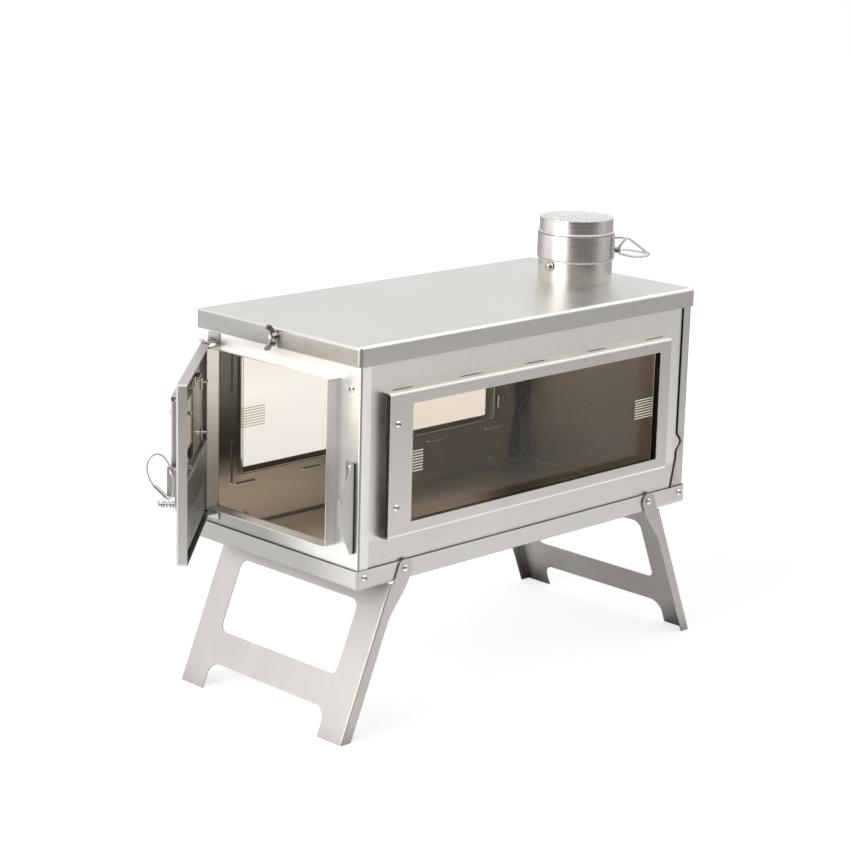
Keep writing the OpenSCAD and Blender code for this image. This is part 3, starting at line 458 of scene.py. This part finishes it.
def satin_steel(name, effects, colour, roughness, stretch, contrast=0.10, depth=0.00002, marks=0.5,
        edge=0.0004, rubbed=(0.80, 0.79, 0.77), tone=1.0, heights=(0.0, 0.2), low_tone=1.0, fire=(), hollow=0.0,
        reach=0.0015, lines=()):
    """Metal sheet with drawn grain, smudges, rounded edges with a painted edge colour, painted shade in its
    hollows, on its folded sides and in boxes of its own space, and the dull inner faces of a firebox with a
    painted tint
    """
    finish, tree, shader = new_finish(name, Metallic=1.0)
    grain = joined(tree, effects["grain"], {"Stretch": stretch, "Contrast": contrast})
    mark = joined(tree, effects["marks"], {"Amount": marks})
    rim = joined(tree, effects["edge"], {"Radius": edge})
    shade = times(tree, grain["Shade"], mark["Shade"])
    # Painted shade on folded sides and towards the bottom
    if tone != 1.0 or low_tone != 1.0:
        shade = times(tree, shade, painted_side_and_low_shade(tree, tone, heights, low_tone))
    # Boxes of painted shade and painted highlight
    for low, high, soft, dark in lines:
        shade = times(tree, shade, zone_tone(tree, low, high, soft, dark))
    grey = node(tree, "CombineColor", {0: shade, 1: shade, 2: shade}).outputs[0]
    body = mixed(tree, 1.0, colour, grey, "MULTIPLY")
    # Painted highlight along the folds and cut rims (a painted dark edge on the legs)
    body = mixed(tree, times(tree, rim["Edge"], 0.5), body, rubbed)
    rough = maths(tree, "ADD", maths(tree, "ADD", grain["Roughness"], mark["Roughness"]), roughness, True)
    if fire:
        # The firebox's inner faces get a tint of painted shade, which is painted light on the pan
        dull, inner_shade_and_light = fire
        zone = joined(tree, effects["fire"])
        body = mixed(tree, zone["Inside"], body, mixed(tree, 1.0, body, inner_shade_and_light, "MULTIPLY"))
        # The second mask, on the wall's outer face under a window frame, is painted dark as the shadow in that
        # recess
        body = mixed(tree, zone["Gasket"], body, RECESS_SHADOW_COLOUR)
        rough = mixed(tree, maths(tree, "MAXIMUM", zone["Inside"], zone["Gasket"]), rough, (dull, dull, dull))
    # Painted shade in sockets, seams and corners
    if hollow:
        deep = joined(tree, effects["hollow"], {"Reach": reach})["Hollow"]
        body = mixed(tree, times(tree, deep, hollow), body, HOLLOW_SHADE_COLOUR)
    tree.links.new(body, shader.inputs["Base Color"])
    tree.links.new(rough, shader.inputs["Roughness"])
    height = maths(tree, "SUBTRACT", grain["Height"], mark["Scratch"])
    bump = node(tree, "Bump", {"Height": height, "Distance": depth, "Strength": 1.0, "Normal": rim["Normal"]})
    tree.links.new(bump.outputs[0], shader.inputs["Normal"])
    return finish


def clear_glass(name, effects, tint, haze=0.0008):
    """Smoked glass with faint wiping haze; lamps shine through it"""
    finish, tree, shader = new_finish(name, Metallic=0.0, Transmission_Weight=1.0, IOR=1.22)
    mark = joined(tree, effects["marks"], {"Amount": 1.0, "Smudge Size": 24.0})
    tone = node(tree, "CombineColor", {0: mark["Shade"], 1: mark["Shade"], 2: mark["Shade"]}).outputs[0]
    colour = mixed(tree, 0.3, tint, mixed(tree, 1.0, tint, tone, "MULTIPLY"))
    tree.links.new(colour, shader.inputs["Base Color"])
    tree.links.new(spread(tree, mark["Roughness"], 0, 0.1, 0, haze), shader.inputs["Roughness"])
    through = node(tree, "BsdfTransparent", {"Color": (*tint, 1)})
    rays = node(tree, "LightPath").outputs["Is Shadow Ray"]
    both = node(tree, "MixShader", {0: rays, 1: shader.outputs[0], 2: through.outputs[0]})
    tree.links.new(both.outputs[0], tree.nodes["Material Output"].inputs["Surface"])
    return finish


# ---------- shape helpers ----------

def at_door(x, out, z):
    """A point on the open door, given where it is on the closed one"""
    turned = Matrix.Rotation(-DOOR_OPEN, 3, "Z") @ (Vector((x, out, z)) - HINGE)
    return turned + HINGE


def on_lever(point):
    return at_door(LATCH.x + point[0], LATCH.y - point[1], LATCH.z + point[2])


def along_shaft(distance, side, z):
    """A point beside the damper's slanting shaft, from the flue's axis"""
    c = math.sqrt(0.5)
    return Vector(((distance - side) * c, FLUE_Y + (distance + side) * c, z))


def eased(points, steps, closed=False):
    """A smooth line through the points"""
    count = len(points)
    line = []
    for i in range(count if closed else count - 1):
        if closed:
            p0, p1, p2, p3 = (points[(i + k) % count] for k in (-1, 0, 1, 2))
        else:
            p0, p1, p2, p3 = (points[min(max(i + k, 0), count - 1)] for k in (-1, 0, 1, 2))
        for k in range(steps):
            t = k / steps
            line.append(0.5 * ((2 * p1) + (p2 - p0) * t + (2 * p0 - 5 * p1 + 4 * p2 - p3) * t ** 2
                + (3 * p1 - p0 - 3 * p2 + p3) * t ** 3))
    if not closed:
        line.append(points[-1].copy())
    return line


def frames_along(line, closed=False):
    """Tangent and two cross directions at each point, carried along without twisting"""
    count = len(line)
    side = None
    found = []
    for i, point in enumerate(line):
        ahead = line[(i + 1) % count] if closed or i < count - 1 else point
        behind = line[i - 1] if closed or i > 0 else point
        tangent = (ahead - behind).normalized()
        if side is None:
            side = tangent.orthogonal().normalized()
        side = (side - tangent * side.dot(tangent)).normalized()
        found.append((tangent, side, tangent.cross(side)))
    return found


def angles(count):
    return [math.tau * k / count for k in range(count)]


def ring_faces(a, b, sides):
    """Faces between two rings of points that start at a and b"""
    return [(a + k, a + (k + 1) % sides, b + (k + 1) % sides, b + k) for k in range(sides)]


def wires(name, lines, radius, sides=10, closed=False):
    """Round wires along the lines, as one mesh"""
    points, faces = [], []
    for line in lines:
        start = len(points)
        for point, (_, u, v) in zip(line, frames_along(line, closed)):
            points += [point + (u * math.cos(a) + v * math.sin(a)) * radius for a in angles(sides)]
        rings = len(line)
        for i in range(rings if closed else rings - 1):
            faces += ring_faces(start + i * sides, start + (i + 1) % rings * sides, sides)
        if not closed:
            faces.append(tuple(start + k for k in reversed(range(sides))))
            faces.append(tuple(start + (rings - 1) * sides + k for k in range(sides)))
    return solid(name, points, faces, True)


def solid(name, points, faces, smooth=False):
    mesh = bpy.data.meshes.new(name)
    mesh.from_pydata([tuple(p) for p in points], [], faces)
    mesh.validate()
    mesh.polygons.foreach_set("use_smooth", [smooth] * len(mesh.polygons))
    made = bpy.data.objects.new(name, mesh)
    bpy.context.scene.collection.objects.link(made)
    return made


def pane(name, low, high, edge):
    """A sheet of glass with ground edges"""
    made = solid(name, [(x, y, z) for x in (low.x, high.x) for y in (low.y, high.y) for z in (low.z, high.z)],
        [(0, 1, 3, 2), (4, 6, 7, 5), (0, 4, 5, 1), (2, 3, 7, 6), (0, 2, 6, 4), (1, 5, 7, 3)])
    ground = made.modifiers.new("ground_edge", "BEVEL")
    ground.width = edge
    ground.segments = 2
    return made


def placed(piece, body, slot, finish, *stands_for):
    """Dresses a piece, sets it on its CAD body and lets it stand for CAD nodes"""
    piece.data.materials.append(finish)
    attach(piece, body)
    if stands_for:
        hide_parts(*stands_for)
    return piece


def dress(names, finish):
    """Gives CAD nodes a finish"""
    for name in names:
        slots = NODES[name].material_slots
        if not slots:
            raise RuntimeError(f"{name} has no material slot")
        for slot in slots:
            slot.material = finish


def scaled(colour, factor):
    """The colour at another brightness, no brighter than white"""
    return tuple(min(1, c * factor) for c in colour)


def group(name):
    made = bpy.data.node_groups.get(name)
    if made is None:
        raise RuntimeError(f"The effect {name} is missing: prepare the effects first")
    return made


def effects():
    return {"grain": group("Rolled Grain"), "marks": group("Handling Marks"), "edge": group("Rounded Edge"),
        "fire": group("Fire Side"), "hollow": group("Hollows")}


def finish_named(name):
    made = bpy.data.materials.get(name)
    if made is None:
        raise RuntimeError(f"The finish {name} is missing: dress the sheets and fasteners first")
    return made


# ---------- operators ----------

class STOVE_OT_camera(bpy.types.Operator):
    """Set the camera at the eye level of a product photograph"""
    bl_idname = "stove.camera"
    bl_label = "Camera"

    def execute(self, context):
        turn, down, roll = (math.radians(angle) for angle in CAMERA_ANGLES)
        back = Vector((math.sin(turn) * math.cos(down), -math.cos(turn) * math.cos(down), math.sin(down)))
        right = Vector((math.cos(turn), math.sin(turn), 0))
        up = back.cross(right)
        axes = Matrix((right, up, back)).transposed() @ Matrix.Rotation(roll, 3, "Z")
        data = bpy.data.cameras.new("studio_camera")
        data.lens = CAMERA_LENS
        data.sensor_width = 36
        data.clip_end = 100
        camera = bpy.data.objects.new("studio_camera", data)
        camera.matrix_world = Matrix.Translation(CAMERA_AT) @ axes.to_4x4()
        context.scene.collection.objects.link(camera)
        context.scene.camera = camera
        return {"FINISHED"}


class STOVE_OT_effects(bpy.types.Operator):
    """Prepare the grain, marks, edges, fire side and hollows that the finishes share"""
    bl_idname = "stove.effects"
    bl_label = "Shared Effects"

    def execute(self, context):
        grain_effect()
        marks_effect()
        edge_effect()
        fire_effect()
        hollow_effect()
        return {"FINISHED"}


class STOVE_OT_sheet(bpy.types.Operator):
    """Dress the folded sheet pieces in satin steel with its grain along each sheet"""
    bl_idname = "stove.sheet"
    bl_label = "Satin Sheets"

    def execute(self, context):
        s = context.scene.stove_steel
        shared = effects()
        colour = tuple(s.sheet_colour)

        def sheet(name, nodes, tint, rough, stretch, **tones):
            tones.setdefault("marks", s.marks)
            dress(nodes, satin_steel(name, shared, tint, s.roughness + rough, stretch, depth=s.grain, **tones))

        # Each sheet's colour, where it is paler or darker than the sheet colour, is painted light and shade for
        # how the light falls on that sheet
        sheet("Pan Steel", ("base_pan",), scaled(colour, 0.83), 0.0, LENGTHWISE,
            fire=(0.42, (1.15, 1.07, 0.97)), lines=(PAN_SHADE,))
        # The front panel is painted darker towards the bottom, as painted shade
        sheet("Front Steel", ("front_panel",), (0.99, 0.972, 0.945), 0.06, CROSSWISE,
            fire=(0.6, (0.42, 0.38, 0.34)), hollow=0.18, reach=0.006, heights=(0.02, 0.17), low_tone=0.80,
            lines=(CORNER_LINE, UNDER_RIM, RIM_SIDE))
        sheet("Rear Steel", ("back_panel",), scaled(colour, 0.82), 0.06, CROSSWISE,
            fire=(0.62, (0.58, 0.53, 0.48)), lines=SEAMS, contrast=0.05, marks=0.3)
        sheet("Side Steel", ("right_side_panel", "left_side_panel"), scaled(colour, 1.12), 0.06, LENGTHWISE,
            fire=(0.30, (1.0, 0.97, 0.92)), lines=SEAMS + SLOTS + [INNER_LOW, INNER_TOP, WALL_LOW])
        # The frames and the lid are painted darker on their folded sides, as painted shade
        sheet("Frame Steel", ("right_window_frame", "left_window_frame"), scaled(colour, 1.26), 0.04,
            LENGTHWISE, tone=0.68, lines=TAB_ENDS)
        sheet("Lid Steel", ("lid",), colour, 0.0, LENGTHWISE,
            tone=0.80, fire=(0.6, (0.6, 0.54, 0.48)), lines=(SKIRT_LEFT, TOP_FOLD))
        sheet("Door Steel", ("door_panel", "hinge_brackets", "door_window_frame"), scaled(colour, 0.79), 0.02,
            DOOR_GRAIN, hollow=0.7, reach=0.010)
        sheet("Liner Steel", ("door_baffle", "air_shutter", "shutter_rails"), scaled(colour, 0.55), 0.06,
            DOOR_GRAIN, hollow=0.5, reach=0.006)
        # The legs get a painted dark edge, painted shade under the pan and painted shade on the rear leg
        sheet("Leg Steel", ("front_leg", "rear_leg"), tuple(s.leg_colour), 0.06, DOWN_LEG, marks=1.0,
            rubbed=(0.46, 0.44, 0.42), hollow=0.55, reach=0.03, lines=(REAR_LEG,))
        sheet("Flue Steel", FLUE_PIECES, colour, -0.08, ROUND_FLUE, contrast=0.14)
        sheet("Latch Steel", ("latch_lever",), scaled(colour, 0.75), -0.02, LATCH_GRAIN, hollow=0.6)
        sheet("Catch Steel", ("latch_catch",), scaled(colour, 0.76), 0.06, LATCH_GRAIN, lines=(CATCH_ROOT,))
        return {"FINISHED"}


class STOVE_OT_fasteners(bpy.types.Operator):
    """Dress the screws, rivets, studs and clips in bright steel, the wing nuts and the shaft in dark steel"""
    bl_idname = "stove.fasteners"
    bl_label = "Fasteners"

    def execute(self, context):
        s = context.scene.stove_steel
        # Each finish gets a painted highlight on its edges and painted shade in its sockets
        for name, nodes, tint, rough, rubbed, hollow, reach in (
                ("Bright Steel", BRIGHT_PIECES, tuple(s.bright_colour), 0.14, (0.86, 0.86, 0.85), 0.95, 0.0016),
                ("Dark Steel", DARK_PIECES, (0.36, 0.34, 0.32), 0.12, (0.6, 0.59, 0.58), 0.6, 0.002)):
            dress(nodes, satin_steel(name, effects(), tint, rough, SMALL_GRAIN, contrast=0.05, depth=s.grain,
                marks=s.marks, edge=0.0002, rubbed=rubbed, hollow=hollow, reach=reach))
        return {"FINISHED"}


class STOVE_OT_glass(bpy.types.Operator):
    """Glaze the long windows and the door"""
    bl_idname = "stove.glass"
    bl_label = "Glass"

    def execute(self, context):
        g = context.scene.stove_glass
        side_glass = clear_glass("Side Glass", effects(), tuple(g.side_tint))
        for name in ("right_window_glass", "left_window_glass"):
            low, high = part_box(name)
            thin = Vector((g.seat_gap, PANE_ENDS, PANE_RIMS))
            low, high = low + thin, high - thin
            if name.startswith("right"):
                high.y -= PANE_CLOSED_END
            else:
                low.y += PANE_CLOSED_END
            placed(pane(name + "_pane", low, high, g.edge), "stove_body", name, side_glass, name)
        dress(("door_glass",), clear_glass("Door Glass", effects(), tuple(g.door_tint)))
        return {"FINISHED"}


class STOVE_OT_knob(bpy.types.Operator):
    """Turn the flue collar's locking screw with its washer, neck and domed head"""
    bl_idname = "stove.knob"
    bl_label = "Collar Screw"

    def execute(self, context):
        s = context.scene.stove_steel
        low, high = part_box("collar_screw")
        z = (low.z + high.z) / 2
        wall = FLUE_Y - COLLAR_R
        points, faces, sides = [], [], 28
        for radius, out in KNOB_PROFILE:
            points += [(radius * math.cos(a), wall - out, z + radius * math.sin(a)) for a in angles(sides)]
        for i in range(len(KNOB_PROFILE) - 1):
            faces += ring_faces(i * sides, (i + 1) * sides, sides)
        # Painted highlight on its edges and painted shade in its hollows
        finish = satin_steel("Knob Steel", effects(), (0.50, 0.47, 0.45), 0.10, SMALL_GRAIN, contrast=0.05,
            depth=s.grain, marks=0.4, edge=0.0002, rubbed=(0.8, 0.79, 0.78), hollow=0.9, reach=0.0022)
        knob = solid("collar_knob", points, faces, True)
        weld = knob.modifiers.new("welded_ends", "WELD")
        weld.merge_threshold = 0.000001
        placed(knob, "lid", "collar_screw", finish, "collar_screw")
        return {"FINISHED"}


class STOVE_OT_gaskets(bpy.types.Operator):
    """Lay the dark rope gaskets at the open end of each window frame, and dark cords behind the rear seams as
    painted shade
    """
    bl_idname = "stove.gaskets"
    bl_label = "Gaskets"

    def execute(self, context):
        finish, tree, shader = new_finish("Gasket and Shade Cord", Roughness=0.85)
        fluff = grains(tree, own_place(tree), 900, 4, 0.6)
        colour = mixed(tree, fluff, (0.010, 0.007, 0.004), (0.045, 0.032, 0.02))
        tree.links.new(colour, shader.inputs["Base Color"])
        tree.links.new(spread(tree, fluff, 0.2, 0.8, 0.75, 0.95), shader.inputs["Roughness"])
        for name, side in (("right_window_gasket", 1), ("left_window_gasket", -1)):
            frame_node = name.replace("gasket", "frame")
            low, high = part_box(frame_node)
            line = []
            for k in range(GASKET_STEPS + 1):
                z = low.z + GASKET_MARGIN + (high.z - low.z - 2 * GASKET_MARGIN) * k / GASKET_STEPS
                drift = noise.noise(Vector((z * 90, side * 3.1, 0))) * GASKET_DRIFT
                line.append(Vector((side * GASKET_X, side * (-GASKET_Y + drift), z)))
            placed(wires(name, [line], GASKET_R, 12), "stove_body", frame_node, finish)
            # The cords behind the rear seams are painted shade: dark cord put where the gap shows only shade
            lean = 0.0 if side > 0 else -SEAM_LEAN
            cord = eased([Vector((side * SEAM_X, y + lean, z)) for y, z in SEAM_ROUTE], 4)
            placed(wires(name.replace("window", "seam"), [cord], SEAM_R, 10), "stove_body", "back_panel",
                finish)
        return {"FINISHED"}


class STOVE_OT_stripes(bpy.types.Operator):
    """Print a small patch of plain stripes on each long window"""
    bl_idname = "stove.stripes"
    bl_label = "Window Stripes"

    def execute(self, context):
        g = context.scene.stove_glass
        finish, tree, shader = new_finish("Stripe Ink", Roughness=0.5)
        specks = grains(tree, own_place(tree), 900, 3)
        worn = spread(tree, specks, 0.30, 0.45, 0.55, 1)
        colour = mixed(tree, worn, scaled(g.stripe_colour, 0.6), tuple(g.stripe_colour))
        tree.links.new(colour, shader.inputs["Base Color"])
        tree.links.new(spread(tree, specks, 0, 1, 0.4, 0.6), shader.inputs["Roughness"])
        # The stripes glow a little: painted light
        tree.links.new(colour, shader.inputs["Emission Color"])
        shader.inputs["Emission Strength"].default_value = 0.35
        for name, side in (("right_window_stripes", 1), ("left_window_stripes", -1)):
            glass = "right_window_glass" if side > 0 else "left_window_glass"
            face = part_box(glass)[1].x if side > 0 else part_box(glass)[0].x
            points, faces = [], []
            for end in (-1, 1):
                for k in range(g.stripe_count):
                    z = STRIPE_FOOT + STRIPE_RISE * k / (g.stripe_count - 1)
                    start = len(points)
                    for y in (end * STRIPE_ENDS[0], end * STRIPE_ENDS[1]):
                        for x in (face + side * STRIPE_FILM[0], face + side * STRIPE_FILM[1]):
                            points += [(x, y, z - STRIPE_HALF), (x, y, z + STRIPE_HALF)]
                    quads = [(0, 1, 5, 4), (2, 6, 7, 3), (0, 4, 6, 2), (1, 3, 7, 5), (0, 2, 3, 1), (4, 5, 7, 6)]
                    faces += [tuple(start + corner for corner in quad) for quad in quads]
            placed(solid(name, points, faces), "stove_body", glass, finish)
        return {"FINISHED"}


class STOVE_OT_screen(bpy.types.Operator):
    """Weave the spark screen of the flue cap, in place of its flat lattice"""
    bl_idname = "stove.screen"
    bl_label = "Spark Screen"

    def execute(self, context):
        w = context.scene.stove_wire
        low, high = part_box("spark_mesh")
        reach = (high.x - low.x) / 2 - w.screen_wire
        lines = []
        count = int(reach / w.screen_pitch)
        cos, sin = math.cos(SCREEN_TURN), math.sin(SCREEN_TURN)
        for turn in (0, 1):
            for i in range(-count, count + 1):
                off = i * w.screen_pitch
                half = math.sqrt(max(reach ** 2 - off ** 2, 0))
                if half < w.screen_pitch:
                    continue
                steps = max(4, int(half * 2 / w.screen_pitch * 4))
                line = []
                for k in range(steps + 1):
                    run = -half + 2 * half * k / steps
                    wave = math.cos(math.pi * run / w.screen_pitch) * (1 if (i + turn) % 2 else -1)
                    x, y = (run, off) if turn else (off, run)
                    dome = w.screen_dome * (1 - (x * x + y * y) / reach ** 2)
                    line.append(Vector((x * cos - y * sin, FLUE_Y + x * sin + y * cos,
                        SCREEN_Z + dome + wave * w.screen_wire)))
                lines.append(line)
        rim = [Vector((reach * math.cos(a), FLUE_Y + reach * math.sin(a), SCREEN_Z)) for a in angles(96)]
        finish = satin_steel("Screen Wire", effects(), tuple(context.scene.stove_steel.bright_colour), 0.34,
            SCREEN_GRAIN, contrast=0.05, depth=0.00001, marks=0.4, edge=0.0001)
        placed(wires("spark_screen", lines, w.screen_wire, 6), "spark_cap", "spark_mesh", finish, "spark_mesh")
        placed(wires("spark_screen_rim", [rim], w.screen_wire * 1.6, 8, True), "spark_cap", "spark_mesh",
            finish)
        return {"FINISHED"}


class STOVE_OT_handle(bpy.types.Operator):
    """Bend the damper's wire loop, its inner lock strand and its free tail"""
    bl_idname = "stove.handle"
    bl_label = "Damper Handle"

    def execute(self, context):
        def bent(route, closed=False):
            return eased([along_shaft(BAND_R + out, side, SHAFT_Z + up) for out, side, up in route], 8, closed)

        loop = [(out, 0, up) for out, up in HANDLE_ROUTE]
        # Painted highlight on its edges
        finish = satin_steel("Handle Wire", effects(), (0.74, 0.73, 0.73), 0.45, SMALL_GRAIN, contrast=0.04,
            depth=0.00001, marks=0.3, edge=0.0002, rubbed=(0.8, 0.8, 0.8))
        placed(wires("damper_loop", [bent(loop, True)], LOOP_WIRE, 14, True), "damper_valve",
            "damper_handle", finish, "damper_handle")
        placed(wires("damper_strands", [bent(LOCK_ROUTE), bent(TAIL_ROUTE)], STRAND_WIRE, 12), "damper_valve",
            "damper_handle", finish)
        return {"FINISHED"}


class STOVE_OT_rope(bpy.types.Operator):
    """Lay the latch's wire-rope ring from its twisted strands"""
    bl_idname = "stove.rope"
    bl_label = "Wire-Rope Ring"

    def execute(self, context):
        w = context.scene.stove_wire
        route = [on_lever(p) for p in ROPE_ROUTE]
        line = eased(route, 9)
        strand_r = w.rope_radius / ROPE_STRANDS
        strands = [line]
        frames = frames_along(line)
        for k in range(6):
            run, strand = 0.0, []
            for i, (point, (_, u, v)) in enumerate(zip(line, frames)):
                if i:
                    run += (point - line[i - 1]).length
                a = math.tau * (k / 6 + run / ROPE_LAY)
                strand.append(point + (u * math.cos(a) + v * math.sin(a)) * strand_r * STRAND_OUT)
            strands.append(strand)
        rope = wires("lanyard_rope", strands, strand_r, 7)
        finish = satin_steel("Rope Wire", effects(), (0.50, 0.49, 0.47), 0.32, WIRE_GRAIN, contrast=0.08,
            depth=0.00001, marks=0.5, edge=0.0001)
        placed(rope, "latch", "lanyard_cable", finish, "lanyard_cable")
        dress(("lanyard_ferrule",), finish_named("Bright Steel"))
        return {"FINISHED"}


class STOVE_OT_spring(bpy.types.Operator):
    """Coil the spring under the latch screw's head"""
    bl_idname = "stove.spring"
    bl_label = "Latch Spring"

    def execute(self, context):
        w = context.scene.stove_wire
        foot, travel = LATCH.y - SPRING_FOOT, SPRING_LENGTH - 2 * w.spring_wire
        turns, line = w.spring_turns, []
        for k in range(turns * 24 + 1):
            t = k / (turns * 24)
            rise = t - SPRING_EASE * math.sin(math.tau * t) / math.tau
            a = math.tau * turns * t
            line.append(at_door(LATCH.x + w.spring_radius * math.cos(a), foot - w.spring_wire - rise * travel,
                LATCH.z + w.spring_radius * math.sin(a)))
        finish = satin_steel("Spring Wire", effects(), (0.62, 0.61, 0.59), 0.24, WIRE_GRAIN, contrast=0.05,
            depth=0.00001, marks=0.4, edge=0.0001)
        placed(wires("latch_coil", [line], w.spring_wire, 10), "door", "latch_spring", finish, "latch_spring")
        return {"FINISHED"}


def studio_floor(s):
    """The pale floor, which dims away from the stove and shows itself bright to the camera"""
    corners = [(x * FLOOR_HALF, y * FLOOR_HALF, FLOOR_Z) for x, y in ((-1, -1), (1, -1), (1, 1), (-1, 1))]
    floor = solid("studio_floor", corners, [(0, 1, 2, 3)])
    finish, tree, shader = new_finish("Studio Floor", Roughness=0.85)
    place = own_place(tree)
    fleck = grains(tree, place, 60, 2)
    colour = mixed(tree, fleck, scaled(s.floor_colour, 0.985), tuple(s.floor_colour))
    distance = node(tree, "VectorMath", {0: place}, operation="LENGTH").outputs["Value"]
    away = spread(tree, distance, *DIM_AWAY, 0, 1, True)
    front = toward(tree, place, (0.707, -0.707, 0))
    ahead = node(tree, "SeparateXYZ", {0: place}).outputs["Y"]
    dimmed = times(tree, times(tree, away, s.falloff),
        spread(tree, ahead, *DIM_ALONG, 0, 1, True))
    colour = mixed(tree, dimmed, colour, FAR_FLOOR)
    dark = times(tree, spread(tree, front, *DIM_FRONT, 0, 1, True), 0.95)
    tree.links.new(mixed(tree, dark, colour, FRONT_FLOOR), shader.inputs["Base Color"])
    rays = node(tree, "LightPath").outputs
    shader.inputs["Emission Color"].default_value = (1, 1, 1, 1)
    lift = spread(tree, away, 0, 0.6, s.floor_lift, 1.0)
    through = times(tree, rays["Is Transmission Ray"], times(tree, lift, 0.78))
    seen = maths(tree, "MAXIMUM", times(tree, rays["Is Camera Ray"], lift), through)
    tree.links.new(seen, shader.inputs["Emission Strength"])
    floor.data.materials.append(finish)


def studio_surround(s):
    """The surround: white to the camera, with lobes of light and shade in the metal, even on the rest"""
    world = bpy.data.worlds.new("studio_surround")
    bpy.context.scene.world = world
    world.use_nodes = True
    tree = world.node_tree
    background = tree.nodes["Background"]
    rays = node(tree, "LightPath").outputs
    after_metal = maths(tree, "GREATER_THAN", rays["Glossy Depth"], 0.5)
    through = maths(tree, "SUBTRACT", rays["Is Transmission Ray"], after_metal, True)
    seen = maths(tree, "MAXIMUM", rays["Is Camera Ray"], through)
    mirrored = maths(tree, "MAXIMUM", rays["Is Glossy Ray"], after_metal)
    way = node(tree, "TexCoord").outputs["Generated"]
    mirror = tuple(s.room_colour)
    for direction, low, high, tint in ROOM_LOBES:
        lobe = spread(tree, toward(tree, way, direction), low, high, 0, 1, True)
        mirror = mixed(tree, lobe, mirror, tint)
    plain = mixed(tree, mirrored, (s.surround, s.surround, s.surround * 0.98), mirror)
    tree.links.new(mixed(tree, seen, plain, (1, 1, 1)), background.inputs["Color"])
    background.inputs["Strength"].default_value = 1.0


def studio_lamp(name, power, at, wide, tall):
    data = bpy.data.lights.new(name, "AREA")
    data.energy = power
    data.shape = "RECTANGLE"
    data.size = wide
    data.size_y = tall
    lamp = bpy.data.objects.new(name, data)
    lamp.location = at
    lamp.rotation_euler = (Vector(at) - LAMP_AIM).to_track_quat("Z", "Y").to_euler()
    bpy.context.scene.collection.objects.link(lamp)


class STOVE_OT_studio(bpy.types.Operator):
    """Set the pale floor, the surround and the soft lamps"""
    bl_idname = "stove.studio"
    bl_label = "Studio"

    def execute(self, context):
        s = context.scene.stove_studio
        studio_floor(s)
        studio_surround(s)
        studio_lamp("key_lamp", s.key, *KEY_LAMP)
        studio_lamp("fill_lamp", s.fill, *FILL_LAMP)
        context.scene.view_settings.view_transform = "Standard"
        return {"FINISHED"}


OPERATORS = (STOVE_OT_camera, STOVE_OT_effects, STOVE_OT_sheet, STOVE_OT_fasteners, STOVE_OT_rope,
    STOVE_OT_spring, STOVE_OT_handle, STOVE_OT_screen, STOVE_OT_glass, STOVE_OT_knob, STOVE_OT_gaskets,
    STOVE_OT_stripes, STOVE_OT_studio)
SETTINGS = (("stove_steel", StoveSteel), ("stove_glass", StoveGlass), ("stove_wire", StoveWire),
    ("stove_studio", StoveStudio))


class STOVE_PT_panel(bpy.types.Panel):
    """Sidebar with the stove's finishes and settings"""
    bl_idname = "STOVE_PT_panel"
    bl_label = "Tent Stove"
    bl_space_type = "VIEW_3D"
    bl_region_type = "UI"
    bl_category = "Stove"

    def draw(self, context):
        for operator in OPERATORS:
            self.layout.operator(operator.bl_idname)
        for name, kind in SETTINGS:
            box = self.layout.box()
            for field in kind.__annotations__:
                box.prop(getattr(context.scene, name), field)


def register():
    for kind in [k for _, k in SETTINGS] + list(OPERATORS) + [STOVE_PT_panel]:
        bpy.utils.register_class(kind)
    for name, kind in SETTINGS:
        setattr(bpy.types.Scene, name, bpy.props.PointerProperty(type=kind))


def unregister():
    for name, _ in SETTINGS:
        delattr(bpy.types.Scene, name)
    for kind in [STOVE_PT_panel] + list(reversed(OPERATORS)) + [k for _, k in reversed(SETTINGS)]:
        bpy.utils.unregister_class(kind)


def main():
    register()
    for operator in OPERATORS:
        call = getattr(bpy.ops.stove, operator.bl_idname.split(".")[1])
        if call() != {"FINISHED"}:
            raise RuntimeError(f"{operator.bl_label} didn't finish")


if __name__ == "__main__":
    main()
